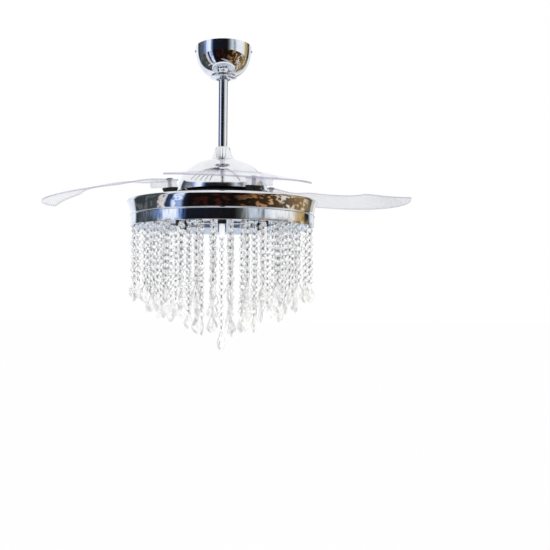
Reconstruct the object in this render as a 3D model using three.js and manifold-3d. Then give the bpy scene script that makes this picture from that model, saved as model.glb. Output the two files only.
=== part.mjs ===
// A chandelier ceiling fan whose four clear blades swing out from above a polished ring when it turns.
// Millimetres, +Z up. The origin is the centre of the hanger bracket's top face, on the ceiling.
// Heights below the ceiling are negative. The camera side is -Y and the first blade points that way.
import * as THREE from "three";
import { mergeVertices } from "three/addons/utils/BufferGeometryUtils.js";
import Module from "manifold-3d";

const wasm = await Module();
wasm.setup();
const rad = THREE.MathUtils.degToRad;

// ---------------------------------------------------------------- driving sizes

const SEAT_GAP = 0.3; // between two pieces that rest on each other or fit in each other
const EXTRA = 1; // how far a cutting tool runs past the face it cuts

// ceiling fitting
const CANOPY_RADIUS = 73;
const CANOPY_DEPTH = 84; // of the full bowl shape, before its bottom opening is cut
const CANOPY_FULLNESS = 2.6; // exponent of the bowl's outline: higher is squarer
const CANOPY_WALL = 1.5;
const CANOPY_OPENING_RADIUS = 30;
const TRIM_RING_RADIUS = 35;
const TRIM_RING_DROP = 7; // below the canopy's bottom edge
const TRIM_RING_WALL = 2;
const TRIM_SLEEVE_HEIGHT = 9;
const TRIM_DISH_WIDTH = 4; // of the flat at the trim ring's lower edge
const TRIM_ROD_CLEARANCE = 5; // from the rod to the trim ring
const TRIM_EDGE_CHAMFER = 0.6;
const BRACKET_WIDTH = 56;
const BRACKET_ARM_WIDTH = 30;
const BRACKET_THICKNESS = 2.5;
const BRACKET_LEG_SPREAD = 34; // from the axis to the inner face of a leg
const BRACKET_TAB_WIDTH = 24;
const BRACKET_TAB_HEIGHT = 18;
const BRACKET_CLEARANCE = 3; // from a tab to the canopy's wall
const CANOPY_SCREW_Z = -10;
const CANOPY_SCREW_RADIUS = 2.5;
const CANOPY_SCREW_HEAD_RADIUS = 5;
const CANOPY_SCREW_HEAD_HEIGHT = 3;
const CANOPY_SCREW_GRIP = 8; // inside the bracket's tab
const WIRE_SLOT_LENGTH = 22;
const WIRE_SLOT_WIDTH = 9;
const FIXING_SLOT_LENGTH = 14;
const FIXING_SLOT_WIDTH = 6;
const RECEIVER_LENGTH = 62;
const RECEIVER_DEPTH = 24;
const RECEIVER_HEIGHT = 26;

// hanging ball and downrod
const BALL_RADIUS = 22;
const BALL_DROP = 42; // from the ceiling to the ball's centre
const BALL_TOP_FLAT = 16; // from the ball's centre to its flat top
const SEAT_DROP = 9; // from the ball's centre to the seat's upper edge
const BALL_SLOT_WIDTH = 6;
const BALL_SLOT_DEPTH = 5;
const KEY_CLEARANCE = 1.2; // round the key in the ball's slot, so that the ball can tilt
const ROD_RADIUS = 12.5;
const ROD_WALL = 2;
const ROD_LENGTH = 258; // from the ball's centre to the rod's foot
const ROD_TOP_SETBACK = 2; // from the ball's full height down to the rod's top
const CROSS_PIN_RADIUS = 3;
const CROSS_PIN_LIFT = 13; // above the ball's centre
const CROSS_PIN_LENGTH = 32;

// coupling, cone and dome
const YOKE_GRIP = 27; // length of the rod that the yoke holds
const YOKE_LENGTH = 51;
const YOKE_WALL = 3.6;
const YOKE_FLANGE_RADIUS = 28;
const YOKE_FLANGE_THICKNESS = 3.5;
const YOKE_PIN_LIFT = 12; // above the rod's foot
const YOKE_PIN_REACH = 2; // past the yoke at each end
const CONE_HEIGHT = 33;
const CONE_TOP_RADIUS = 19.5;
const CONE_BOTTOM_RADIUS = 31.5;
const CONE_WALL = 1.2;
const CONE_BELL = 0.45; // share of the flare that comes with the cube of the way down
const DOME_TOP_LIFT = 3; // above the rod's foot
const DOME_HEIGHT = 85;
const DOME_RADIUS = 119;
const DOME_TOP_RADIUS = 31;
const DOME_WALL = 1.2;

// motor
const SHAFT_RADIUS = 12.5;
const SHAFT_WALL = 3.5;
const SHAFT_TOP_GAP = 3; // between the rod's foot and the shaft's top
const SHAFT_END_REACH = 6.4; // below the nut
const MOTOR_DROP = 4; // from the yoke's foot to the motor's top
const MOTOR_HEIGHT = 69.7;
const MOTOR_RADIUS = 81;
const MOTOR_WALL = 3;
const MOTOR_CHAMFER = 5;
const UPPER_BELL_HEIGHT = 34;
const FLANGE_RADIUS = 108; // of the dark rim that closes the dome's underside
const FLANGE_DROP = 2.5; // below the dome's edge
const FLANGE_THICKNESS = 3;
const BEARING_RADIUS = 22;
const BEARING_HEIGHT = 8;
const HUB_WALL = 3.7;
const STATOR_CLEARANCE = 6; // from the stator to the motor's inner wall
const STATOR_HEIGHT = 42;
const STATOR_NECK = 0.6; // radius of the windings' ends as a share of the stator's

// blade carrier and blade pivots
const CARRIER_THICKNESS = 4;
const CARRIER_RADIUS = 96;
const CARRIER_HOLE_RADIUS = 30;
const CARRIER_ARM_WIDTH = 36;
const BLADE_COUNT = 4;
const FIRST_PIVOT_AZIMUTH = 300; // degrees, anticlockwise from +X seen from above
const PIVOT_RADIUS = 155; // from the fan's axis
const PIVOT_TILT = 6.5; // degrees that a pivot leans outwards, so that an open blade droops
const OPEN_ANGLE = 103; // degrees from folded to the photographed position
const BOLT_RADIUS = 5;
const BOLT_HEAD_RADIUS = 10;
const BOLT_HEAD_HEIGHT = 4;
const BOLT_END_REACH = 2; // past the pad and past the head's underside
const PAD_RADIUS = 19;
const PAD_THICKNESS = 6;
const PAD_LIFT = 3.6; // of a pad's top over its arm
const SWIVEL_RADIUS = 20;
const SWIVEL_PLATE = 5;
const SKIRT_RADIUS = 18;
const SKIRT_WALL = 2.5;
const SKIRT_HEIGHT = 7;
const SPRING_COIL_RADIUS = 10.6;
const SPRING_WIRE_RADIUS = 1.1;
const SPRING_TURNS = 2;

// blade, described in its folded position round the dome
const BLADE_THICKNESS = 3.6;
const BLADE_DOME_CLEARANCE = 9; // from the dome's edge to the folded blade's inner edge
const BLADE_RIM_SETBACK = 7; // of the folded blade's outer edge from the lamp ring's edge
const BLADE_ROOT_RADIUS = 22;
const BLADE_HUB_RADIUS = 19; // of the clear boss under the root
const BLADE_HUB_HEIGHT = 16;
const BLADE_RIB_LENGTH = 58; // of the clear block that runs from the boss under the blade
const BLADE_RIB_WIDTH = 26;
const BLADE_DROOP = 14; // the moulded fall from the root to the tip
const BLADE_SHOULDER_ANGLE = 48; // degrees from the pivot to where the full width starts
const BLADE_CORNER_ANGLE = 126; // to the inner corner of the slanted end
const BLADE_CORNER_LIFT = 8; // the inner edge has moved out this far at that corner
const BLADE_TIP_ANGLE = 152;
const BLADE_TIP_WIDTH = 5;
const BLADE_CONE_SLOPE = 0.14; // the moulded fall from the inner edge to the outer edge
const BLADE_FLAT_ANGLE = 20; // the root stays flat up to here

// lamp ring
const RING_DROP = 8; // from the blade carrier to the ring's rim
const RING_RADIUS = 250;
const RING_UPPER_HEIGHT = 36;
const RING_WAIST_RADIUS = 240.5;
const RING_FLARE_POWER = 2.2;
const RING_WALL = 1.6;
const RING_LIP = 3; // depth of the rolled lip
const RING_BEAD_DEPTH = 2.1; // of the bead under the upper band, over the waist
const RING_BEAD_HEIGHT = 3.5;
const RING_BEAD_CHAMFER = 0.8;
const RING_LOWER_HEIGHT = 30;
const PLATE_LIP_DROP = 5; // from the upper band's foot to the inner lip
const PLATE_LIP_WIDTH = 12;
const PLATE_THICKNESS = 1.5;
const TRAY_DROP = 8.5; // from the rim to the tray's upper face
const TRAY_THICKNESS = 1.5;
const NUT_RADIUS = 22;
const NUT_HEIGHT = 9;
const DRIVER_LENGTH = 130;
const DRIVER_WIDTH = 46;
const DRIVER_HEIGHT = 20;
const DRIVER_CLEARANCE = 13; // from the nut to the lamp driver

// lamps
const LAMP_COUNT = 6;
const LAMP_CIRCLE_RADIUS = 124;
const FIRST_LAMP_AZIMUTH = 270;
const SOCKET_RADIUS = 11.5;
const SOCKET_HEIGHT = 24;
const SOCKET_BORE_RADIUS = 8.5;
const SOCKET_BORE_DEPTH = 12;
const SOCKET_CHAMFER = 1.5;
const BULB_RADIUS = 7.5;
const BULB_BASE_RADIUS = 6.5;
const BULB_LENGTH = 44; // from the socket's bore floor to the tip
const BULB_SHOULDER = 3; // height over which the base widens to the glass

// crystal strands, in circles from the ring inwards, with the lamps' circle left out
const CIRCLE_SPACING = 36; // between neighbouring circles
const STRAND_PITCH = 40.5; // along a circle
const STRAND_CLEARANCE = 2; // from the outer circle's beads to the ring's wall
const EDGE_LENGTH = 219; // of the outer circle's strands
const INNER_LENGTH = 313; // that the strands reach towards the middle
const CENTRE_LENGTH = 348; // of the strand in the middle
const STRAND_STAGGER = 9; // every other strand of a circle is this much shorter
const BEAD_HALF_WIDTH = 5;
const BEAD_HALF_DEPTH = 3.4;
const PENDANT_HEIGHT = 46;
const EDGE_PENDANT_RADIUS = 13.5;
const INNER_PENDANT_RADIUS = 18;
const CENTRE_PENDANT_HEIGHT = 60;
const CENTRE_PENDANT_RADIUS = 16;
const PENDANT_HALF_DEPTH = 5.5;
const PENDANT_BELLY = 0.62; // share of a pendant's height from its neck to its widest part
const PENDANT_NECK = 1.6;
const RAIL_SIZE = 3;
const HOOK_LENGTH = 8; // from the rail's underside to the first bead's full width
const STRAND_YAW_STEP = 67; // degrees from one strand's facing to the next one's

// ---------------------------------------------------------------- levels, from the ceiling down

const ballZ = -BALL_DROP;
const rodFootZ = ballZ - ROD_LENGTH;
const yokeTopZ = rodFootZ + YOKE_GRIP;
const yokeBottomZ = yokeTopZ - YOKE_LENGTH;
const domeTopZ = rodFootZ + DOME_TOP_LIFT;
const domeUnderZ = domeTopZ - DOME_WALL;
const domeBaseZ = domeTopZ - DOME_HEIGHT;
const coneTopZ = domeTopZ + CONE_HEIGHT;
const motorTopZ = yokeBottomZ - MOTOR_DROP;
const motorSplitZ = motorTopZ - UPPER_BELL_HEIGHT;
const motorBottomZ = motorTopZ - MOTOR_HEIGHT;
const carrierTopZ = motorBottomZ - SEAT_GAP;
const carrierLowZ = carrierTopZ - CARRIER_THICKNESS;
const ringTopZ = carrierLowZ - RING_DROP;
const trayTopZ = ringTopZ - TRAY_DROP;
const trayLowZ = trayTopZ - TRAY_THICKNESS;
const nutLowZ = trayLowZ - SEAT_GAP - NUT_HEIGHT;
const ringUpperFootZ = ringTopZ - RING_UPPER_HEIGHT;
const ringLowerFootZ = ringUpperFootZ - RING_LOWER_HEIGHT;
const plateLipZ = ringUpperFootZ - PLATE_LIP_DROP;
const plateTopZ = plateLipZ - SEAT_GAP;
const plateLowZ = plateTopZ - PLATE_THICKNESS;

// ---------------------------------------------------------------- round steps

const FINE = 48; // segments of the ring and its floor
const MEDIUM = 32; // of the dome, canopy and motor
const ROUND = 24; // of the cone, collar and ball
const SMALL = 14; // of rods and bolts
const TINY = 10; // of lamps

// ---------------------------------------------------------------- materials

const finish = (color, metalness, roughness, more = {}) =>
  new THREE.MeshStandardMaterial({ color, metalness, roughness, ...more });
const chrome = finish(0xdadde0, 1, 0.06);
const mirrorSteel = finish(0xc9d2da, 1, 0.12);
const zincSteel = finish(0xa9abad, 1, 0.35);
const castAluminium = finish(0xb4b7ba, 1, 0.4);
const blackEnamel = finish(0x17181a, 0.2, 0.4);
const blackNylon = finish(0x1c1c1e, 0, 0.5);
const springSteel = finish(0x8d8f92, 1, 0.3);
const copperWinding = finish(0x9a5a2c, 0.8, 0.45);
const clearAcrylic = finish(0xeef1f6, 0, 0.05, { transparent: true, opacity: 0.35 });
const crystalGlass = finish(0xf4f6f8, 0, 0.02, { transparent: true, opacity: 0.5 });
const bulbGlass = finish(0xfaf7ee, 0, 0.1, { transparent: true, opacity: 0.6 });
const blackPhenolic = finish(0x111111, 0, 0.35);
const whitePlastic = finish(0xe4e4e0, 0, 0.5);

// ---------------------------------------------------------------- solids

// One closed surface with shared corners and its faces pointing out.
function closed(geometry) {
  const bare = new THREE.BufferGeometry().setAttribute("position", geometry.getAttribute("position"));
  if (geometry.index) bare.setIndex(geometry.index);
  const merged = mergeVertices(bare, 1e-4);
  const p = merged.getAttribute("position");
  const faces = [];
  let volume = 0;
  const [a, b, c] = [new THREE.Vector3(), new THREE.Vector3(), new THREE.Vector3()];
  for (let i = 0; i < merged.index.count; i += 3) {
    const [ia, ib, ic] = [0, 1, 2].map((k) => merged.index.getX(i + k));
    if (ia === ib || ib === ic || ia === ic) continue;
    faces.push(ia, ib, ic);
    a.fromBufferAttribute(p, ia);
    b.fromBufferAttribute(p, ib);
    c.fromBufferAttribute(p, ic);
    volume += a.dot(b.cross(c));
  }
  if (volume < 0) faces.reverse();
  merged.setIndex(faces);
  return merged;
}

function manifoldOf(geometry) {
  const g = closed(geometry);
  return new wasm.Manifold(
    new wasm.Mesh({
      numProp: 3,
      vertProperties: new Float32Array(g.getAttribute("position").array),
      triVerts: new Uint32Array(g.index.array),
    }),
  );
}

function geometryOf(solid) {
  const mesh = solid.getMesh();
  return new THREE.BufferGeometry()
    .setAttribute("position", new THREE.BufferAttribute(new Float32Array(mesh.vertProperties), 3))
    .setIndex(new THREE.BufferAttribute(new Uint32Array(mesh.triVerts), 1));
}

const join = (...parts) => geometryOf(parts.map(manifoldOf).reduce((a, b) => a.add(b)));
const cut = (base, ...tools) =>
  geometryOf(tools.map(manifoldOf).reduce((a, b) => a.subtract(b), manifoldOf(base)));

// Turns an outline of [radius, z] pairs about Z. A ring's outline closes on itself.
function turned(outline, segments) {
  const points = outline.map(([r, z]) => new THREE.Vector2(r, z));
  return closed(new THREE.LatheGeometry(points, segments).rotateX(Math.PI / 2));
}

// A ring's outline from its outer and inner runs, both listed from the top down.
const wallOutline = (outer, inner) => [...outer, ...inner.slice().reverse(), outer[0]];

const ringWall = (inner, outer, low, high, segments) =>
  turned([[inner, low], [outer, low], [outer, high], [inner, high], [inner, low]], segments);

const post = (radius, low, high, segments = SMALL) =>
  new THREE.CylinderGeometry(radius, radius, high - low, segments)
    .rotateX(Math.PI / 2)
    .translate(0, 0, (low + high) / 2);

const block = (sx, sy, sz, x, y, z) => new THREE.BoxGeometry(sx, sy, sz).translate(x, y, z);

// A round bar along X, at that height.
const crossBar = (radius, from, to, z, segments = SMALL) =>
  new THREE.CylinderGeometry(radius, radius, to - from, segments)
    .rotateZ(Math.PI / 2)
    .translate((from + to) / 2, 0, z);

function named(name, geometry, material, parent) {
  const mesh = new THREE.Mesh(closed(geometry), material);
  mesh.name = name;
  parent.add(mesh);
  return mesh;
}

const lerp = (a, b, t) => a + (b - a) * t;
const smooth = (t) => {
  const c = Math.min(1, Math.max(0, t));
  return c * c * (3 - 2 * c);
};

// ---------------------------------------------------------------- ceiling fitting

const canopyRadiusAt = (z) => CANOPY_RADIUS * Math.sqrt(1 - (-z / CANOPY_DEPTH) ** CANOPY_FULLNESS);
const canopyBottomZ =
  -CANOPY_DEPTH * (1 - (CANOPY_OPENING_RADIUS / CANOPY_RADIUS) ** 2) ** (1 / CANOPY_FULLNESS);
const canopyTopZ = -SEAT_GAP;
const seatEdgeZ = ballZ - SEAT_DROP;
const seatRadius = Math.sqrt(BALL_RADIUS ** 2 - SEAT_DROP ** 2) + SEAT_GAP;
const slotFloor = seatRadius - BALL_SLOT_DEPTH; // distance of the ball's slot floor from the axis
const legOuter = BRACKET_LEG_SPREAD + BRACKET_THICKNESS;
const tabOuter = CANOPY_RADIUS - CANOPY_WALL - BRACKET_CLEARANCE;
const trimInnerRadius = ROD_RADIUS + TRIM_ROD_CLEARANCE;

function hangerBracket() {
  const thick = BRACKET_THICKNESS;
  const seatLow = seatEdgeZ - thick;
  const plate = block(2 * legOuter, BRACKET_WIDTH, thick, 0, 0, -thick / 2);
  const arms = block(2 * tabOuter, BRACKET_ARM_WIDTH, thick, 0, 0, -thick / 2);
  const seat = block(2 * legOuter, BRACKET_WIDTH, thick, 0, 0, seatEdgeZ - thick / 2);
  const sides = [-1, 1].flatMap((side) => [
    block(thick, BRACKET_WIDTH, -seatLow, side * (legOuter - thick / 2), 0, seatLow / 2),
    block(
      thick, BRACKET_TAB_WIDTH, BRACKET_TAB_HEIGHT,
      side * (tabOuter - thick / 2), 0, -BRACKET_TAB_HEIGHT / 2,
    ),
  ]);
  const [keyFrom, keyTo] = [slotFloor + KEY_CLEARANCE, seatRadius + EXTRA];
  const key = block(
    BALL_SLOT_WIDTH - 2 * KEY_CLEARANCE, keyTo - keyFrom, thick,
    0, -(keyFrom + keyTo) / 2, seatEdgeZ - thick / 2,
  );
  const through = thick + 2 * EXTRA;
  const seatHole = post(seatRadius, seatLow - EXTRA, seatEdgeZ + EXTRA, MEDIUM);
  const slots = [-1, 1].flatMap((side) => [
    block(
      WIRE_SLOT_LENGTH, WIRE_SLOT_WIDTH, through, 0, side * (BRACKET_WIDTH / 2 - WIRE_SLOT_WIDTH), -thick / 2,
    ),
    block(FIXING_SLOT_LENGTH, FIXING_SLOT_WIDTH, through, side * (legOuter + tabOuter) / 2, 0, -thick / 2),
  ]);
  const screwHole = crossBar(CANOPY_SCREW_RADIUS + SEAT_GAP, -CANOPY_RADIUS, CANOPY_RADIUS, CANOPY_SCREW_Z);
  return join(cut(join(plate, arms, seat, ...sides), seatHole, ...slots, screwHole), key);
}

function canopy() {
  const steps = 7;
  const outer = [];
  for (let i = 0; i <= steps; i++) {
    const z = lerp(canopyTopZ, canopyBottomZ, Math.sin((i / steps) * (Math.PI / 2)));
    outer.push([i === steps ? CANOPY_OPENING_RADIUS : canopyRadiusAt(z), z]);
  }
  const inner = outer.map(([r, z], i) => [
    i === steps ? r : r - CANOPY_WALL,
    i === 0 ? z : z + (CANOPY_WALL * i) / steps,
  ]);
  const reach = CANOPY_RADIUS + EXTRA;
  const hole = crossBar(CANOPY_SCREW_RADIUS + SEAT_GAP, -reach, reach, CANOPY_SCREW_Z);
  return cut(turned(wallOutline(outer, inner), MEDIUM), hole);
}

function canopyScrew(side) {
  const shank = crossBar(CANOPY_SCREW_RADIUS, tabOuter - CANOPY_SCREW_GRIP, CANOPY_RADIUS + EXTRA, 0);
  const headFrom = CANOPY_RADIUS + SEAT_GAP;
  const head = crossBar(CANOPY_SCREW_HEAD_RADIUS, headFrom, headFrom + CANOPY_SCREW_HEAD_HEIGHT, 0);
  const screw = join(shank, head);
  if (side < 0) screw.rotateZ(Math.PI);
  return screw.translate(0, 0, CANOPY_SCREW_Z);
}

// The collar that lines the canopy's opening: a sleeve inside it and a dished flange under it.
function canopyTrimRing() {
  const sleeveOuter = CANOPY_OPENING_RADIUS - SEAT_GAP;
  const flangeTop = canopyBottomZ - 2 * SEAT_GAP;
  const low = canopyBottomZ - TRIM_RING_DROP;
  return turned(
    [
      [sleeveOuter, flangeTop + TRIM_SLEEVE_HEIGHT],
      [sleeveOuter, flangeTop],
      [TRIM_RING_RADIUS, flangeTop - TRIM_EDGE_CHAMFER],
      [TRIM_RING_RADIUS - TRIM_EDGE_CHAMFER, flangeTop - TRIM_RING_WALL],
      [trimInnerRadius + TRIM_DISH_WIDTH, low],
      [trimInnerRadius, low],
      [trimInnerRadius, low + TRIM_RING_WALL],
      [trimInnerRadius + TRIM_DISH_WIDTH, low + TRIM_RING_WALL],
      [sleeveOuter - TRIM_RING_WALL, flangeTop - TRIM_RING_WALL + TRIM_EDGE_CHAMFER],
      [sleeveOuter - TRIM_RING_WALL, flangeTop + TRIM_SLEEVE_HEIGHT],
      [sleeveOuter, flangeTop + TRIM_SLEEVE_HEIGHT],
    ],
    ROUND,
  );
}

function receiverBox() {
  const y = -(BRACKET_WIDTH / 2 + RECEIVER_DEPTH / 2 + SEAT_GAP);
  return block(RECEIVER_LENGTH, RECEIVER_DEPTH, RECEIVER_HEIGHT, 0, y, -RECEIVER_HEIGHT / 2 - SEAT_GAP);
}

// ---------------------------------------------------------------- ball, rod and coupling

const pinZ = ballZ + CROSS_PIN_LIFT;
const rodTopZ = ballZ + BALL_RADIUS - ROD_TOP_SETBACK;
const yokeOuter = ROD_RADIUS + SEAT_GAP + YOKE_WALL;
const yokePinZ = rodFootZ + YOKE_PIN_LIFT;

function hangerBall() {
  const ball = turned(
    Array.from({ length: 11 }, (_, i) => {
      const angle = -Math.PI / 2 + (i / 10) * Math.PI;
      return [i % 10 === 0 ? 0 : BALL_RADIUS * Math.cos(angle), ballZ + BALL_RADIUS * Math.sin(angle)];
    }),
    ROUND,
  );
  const flatTop = ballZ + BALL_TOP_FLAT;
  const above = block(3 * BALL_RADIUS, 3 * BALL_RADIUS, BALL_RADIUS, 0, 0, flatTop + BALL_RADIUS / 2);
  const bore = post(ROD_RADIUS + SEAT_GAP, ballZ - BALL_RADIUS - EXTRA, flatTop + EXTRA);
  const pinWay = 2 * (CROSS_PIN_RADIUS + SEAT_GAP);
  const pinFloor = pinZ - CROSS_PIN_RADIUS - SEAT_GAP;
  const pinChannel = block(
    3 * BALL_RADIUS, pinWay, flatTop + EXTRA - pinFloor, 0, 0, (flatTop + EXTRA + pinFloor) / 2,
  );
  const slotReach = BALL_RADIUS + EXTRA;
  const slot = block(
    BALL_SLOT_WIDTH, slotReach - slotFloor, 2 * BALL_RADIUS,
    0, -(slotReach + slotFloor) / 2, ballZ - SEAT_DROP,
  );
  return cut(ball, above, bore, pinChannel, slot);
}

function downrod() {
  const tube = ringWall(ROD_RADIUS - ROD_WALL, ROD_RADIUS, rodFootZ, rodTopZ, SMALL);
  const reach = ROD_RADIUS + EXTRA;
  const drill = CROSS_PIN_RADIUS + SEAT_GAP;
  return cut(tube, crossBar(drill, -reach, reach, pinZ), crossBar(drill, -reach, reach, yokePinZ));
}

const crossPin = (length, z) => crossBar(CROSS_PIN_RADIUS, -length / 2, length / 2, z);

// The sleeve that ties the rod to the motor's shaft; its flange carries the dome.
function motorYoke() {
  const bore = ROD_RADIUS + SEAT_GAP;
  const flangeTop = domeUnderZ - SEAT_GAP;
  const flangeLow = flangeTop - YOKE_FLANGE_THICKNESS;
  const sleeve = turned(
    [
      [bore, yokeBottomZ], [yokeOuter, yokeBottomZ], [yokeOuter, flangeLow],
      [YOKE_FLANGE_RADIUS, flangeLow], [YOKE_FLANGE_RADIUS, flangeTop], [yokeOuter, flangeTop],
      [yokeOuter, yokeTopZ], [bore, yokeTopZ], [bore, yokeBottomZ],
    ],
    SMALL,
  );
  const reach = yokeOuter + EXTRA;
  return cut(sleeve, crossBar(CROSS_PIN_RADIUS + SEAT_GAP, -reach, reach, yokePinZ));
}

function yokeCover() {
  const bottom = domeTopZ + SEAT_GAP;
  const top = coneTopZ;
  const steps = 4;
  const outer = [];
  for (let i = 0; i <= steps; i++) {
    const t = i / steps;
    const flare = lerp(t, t ** 3, CONE_BELL);
    outer.push([lerp(CONE_TOP_RADIUS, CONE_BOTTOM_RADIUS, flare), lerp(top, bottom, t)]);
  }
  const lipRadius = ROD_RADIUS + 2 * SEAT_GAP;
  const inner = [
    [lipRadius, top],
    [lipRadius, top - CONE_WALL],
    ...outer.slice(1).map(([r, z]) => [r - CONE_WALL, z]),
  ];
  inner[2] = [CONE_TOP_RADIUS - CONE_WALL, top - CONE_WALL];
  return turned(wallOutline(outer, inner), ROUND);
}

// The dome is an ellipse in section that passes through its base radius and its flat top's edge.
const domeHalfHeight = DOME_HEIGHT / Math.sqrt(1 - (DOME_TOP_RADIUS / DOME_RADIUS) ** 2);

function domeCover() {
  const hole = yokeOuter + 2 * SEAT_GAP;
  const topAngle = Math.acos(DOME_TOP_RADIUS / DOME_RADIUS);
  const shell = (inset, steps) =>
    Array.from({ length: steps + 1 }, (_, i) => {
      const a = topAngle * (1 - i / steps);
      return [(DOME_RADIUS - inset) * Math.cos(a), domeBaseZ + (domeHalfHeight - inset) * Math.sin(a)];
    });
  const outer = [[hole, domeTopZ], ...shell(0, 8)];
  const inner = [[hole, domeUnderZ], ...shell(DOME_WALL, 4)];
  return turned(wallOutline(outer, inner), MEDIUM);
}

// ---------------------------------------------------------------- motor

const bearingBore = SHAFT_RADIUS + SEAT_GAP;
const hubBore = BEARING_RADIUS + SEAT_GAP;
const hubOuter = hubBore + HUB_WALL;
const motorInner = MOTOR_RADIUS - MOTOR_WALL;
const upperPlateLow = motorTopZ - MOTOR_WALL;
const lowerPlateHigh = motorBottomZ + MOTOR_WALL;

const statorZ = (motorTopZ + motorBottomZ) / 2;
const statorRadius = motorInner - STATOR_CLEARANCE;
const statorNeck = statorRadius * STATOR_NECK;
const shaftTopZ = rodFootZ - SHAFT_TOP_GAP;
const shaftFootZ = nutLowZ - SHAFT_END_REACH;

const motorShaft = () => ringWall(SHAFT_RADIUS - SHAFT_WALL, SHAFT_RADIUS, shaftFootZ, shaftTopZ, SMALL);

const statorCore = () =>
  turned(
    [
      [bearingBore, statorZ - STATOR_HEIGHT / 2], [statorNeck, statorZ - STATOR_HEIGHT / 2],
      [statorRadius, statorZ - STATOR_HEIGHT / 4], [statorRadius, statorZ + STATOR_HEIGHT / 4],
      [statorNeck, statorZ + STATOR_HEIGHT / 2], [bearingBore, statorZ + STATOR_HEIGHT / 2],
      [bearingBore, statorZ - STATOR_HEIGHT / 2],
    ],
    ROUND,
  );

const upperBearing = () =>
  ringWall(bearingBore, BEARING_RADIUS, upperPlateLow - BEARING_HEIGHT, upperPlateLow, SMALL);
const lowerBearing = () =>
  ringWall(bearingBore, BEARING_RADIUS, lowerPlateHigh, lowerPlateHigh + BEARING_HEIGHT, SMALL);

const upperBell = () =>
  turned(
    [
      [hubBore, motorTopZ], [MOTOR_RADIUS - MOTOR_CHAMFER, motorTopZ],
      [MOTOR_RADIUS, motorTopZ - MOTOR_CHAMFER],
      [MOTOR_RADIUS, motorSplitZ + SEAT_GAP], [motorInner, motorSplitZ + SEAT_GAP],
      [motorInner, upperPlateLow], [hubOuter, upperPlateLow],
      [hubOuter, upperPlateLow - BEARING_HEIGHT], [hubBore, upperPlateLow - BEARING_HEIGHT],
      [hubBore, motorTopZ],
    ],
    ROUND,
  );

const flangeTopZ = domeBaseZ - FLANGE_DROP;
const flangeLowZ = flangeTopZ - FLANGE_THICKNESS;

const lowerBell = () =>
  turned(
    [
      [hubBore, motorBottomZ], [MOTOR_RADIUS, motorBottomZ], [MOTOR_RADIUS, flangeLowZ],
      [FLANGE_RADIUS, flangeLowZ], [FLANGE_RADIUS, flangeTopZ], [MOTOR_RADIUS, flangeTopZ],
      [MOTOR_RADIUS, motorSplitZ],
      [motorInner, motorSplitZ], [motorInner, lowerPlateHigh], [hubOuter, lowerPlateHigh],
      [hubOuter, lowerPlateHigh + BEARING_HEIGHT], [hubBore, lowerPlateHigh + BEARING_HEIGHT],
      [hubBore, motorBottomZ],
    ],
    ROUND,
  );

// ---------------------------------------------------------------- pivots and blades

// Heights along a pivot's own axis, from the blade root's middle.
const rootTop = BLADE_THICKNESS / 2;
const rootUnder = -BLADE_THICKNESS / 2;
const hubFoot = rootUnder - BLADE_HUB_HEIGHT;
const swivelTop = hubFoot - SEAT_GAP;
const swivelUnder = swivelTop - SWIVEL_PLATE;
const skirtFoot = swivelUnder - SKIRT_HEIGHT;
const padTop = skirtFoot - SEAT_GAP;
const padFoot = padTop - PAD_THICKNESS;
const boltBore = BOLT_RADIUS + SEAT_GAP;

const pivotZ = carrierTopZ + PAD_LIFT - padTop;
const pivotAzimuth = (i) => FIRST_PIVOT_AZIMUTH + (360 / BLADE_COUNT) * i;

// A group whose own Z is the pivot's axis and whose X points away from the fan's axis.
function pivotFrame(i) {
  const turn = new THREE.Group();
  turn.rotation.z = rad(pivotAzimuth(i));
  const frame = new THREE.Group();
  frame.position.set(PIVOT_RADIUS, 0, pivotZ);
  frame.rotation.y = rad(PIVOT_TILT);
  turn.add(frame);
  turn.updateMatrixWorld(true);
  return { turn, frame };
}

function bladeCarrier() {
  const parts = [ringWall(CARRIER_HOLE_RADIUS, CARRIER_RADIUS, carrierLowZ, carrierTopZ, ROUND)];
  const drills = [];
  for (let i = 0; i < BLADE_COUNT; i++) {
    const { frame } = pivotFrame(i);
    const armFrom = CARRIER_RADIUS - CARRIER_ARM_WIDTH / 4;
    const armTo = PIVOT_RADIUS - BOLT_RADIUS;
    const arm = block(
      armTo - armFrom, CARRIER_ARM_WIDTH, CARRIER_THICKNESS,
      (armFrom + armTo) / 2, 0, (carrierLowZ + carrierTopZ) / 2,
    ).rotateZ(rad(pivotAzimuth(i)));
    parts.push(arm, post(PAD_RADIUS, padFoot, padTop).applyMatrix4(frame.matrixWorld));
    drills.push(post(boltBore, padFoot - 2 * PAD_THICKNESS, padTop + EXTRA).applyMatrix4(frame.matrixWorld));
  }
  return cut(join(...parts), ...drills);
}

const pivotBolt = () =>
  join(
    post(BOLT_RADIUS, padFoot - BOLT_END_REACH, rootTop + SEAT_GAP + BOLT_END_REACH),
    post(BOLT_HEAD_RADIUS, rootTop + SEAT_GAP, rootTop + SEAT_GAP + BOLT_HEAD_HEIGHT, 6),
  );

// The turning cap over the return spring, on which the blade's boss stands.
function swivelBracket() {
  const plate = post(SWIVEL_RADIUS, swivelUnder, swivelTop);
  const skirt = ringWall(SKIRT_RADIUS - SKIRT_WALL, SKIRT_RADIUS, skirtFoot, swivelUnder + EXTRA, SMALL);
  return cut(join(plate, skirt), post(boltBore, swivelUnder - EXTRA, swivelTop + EXTRA));
}

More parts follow.
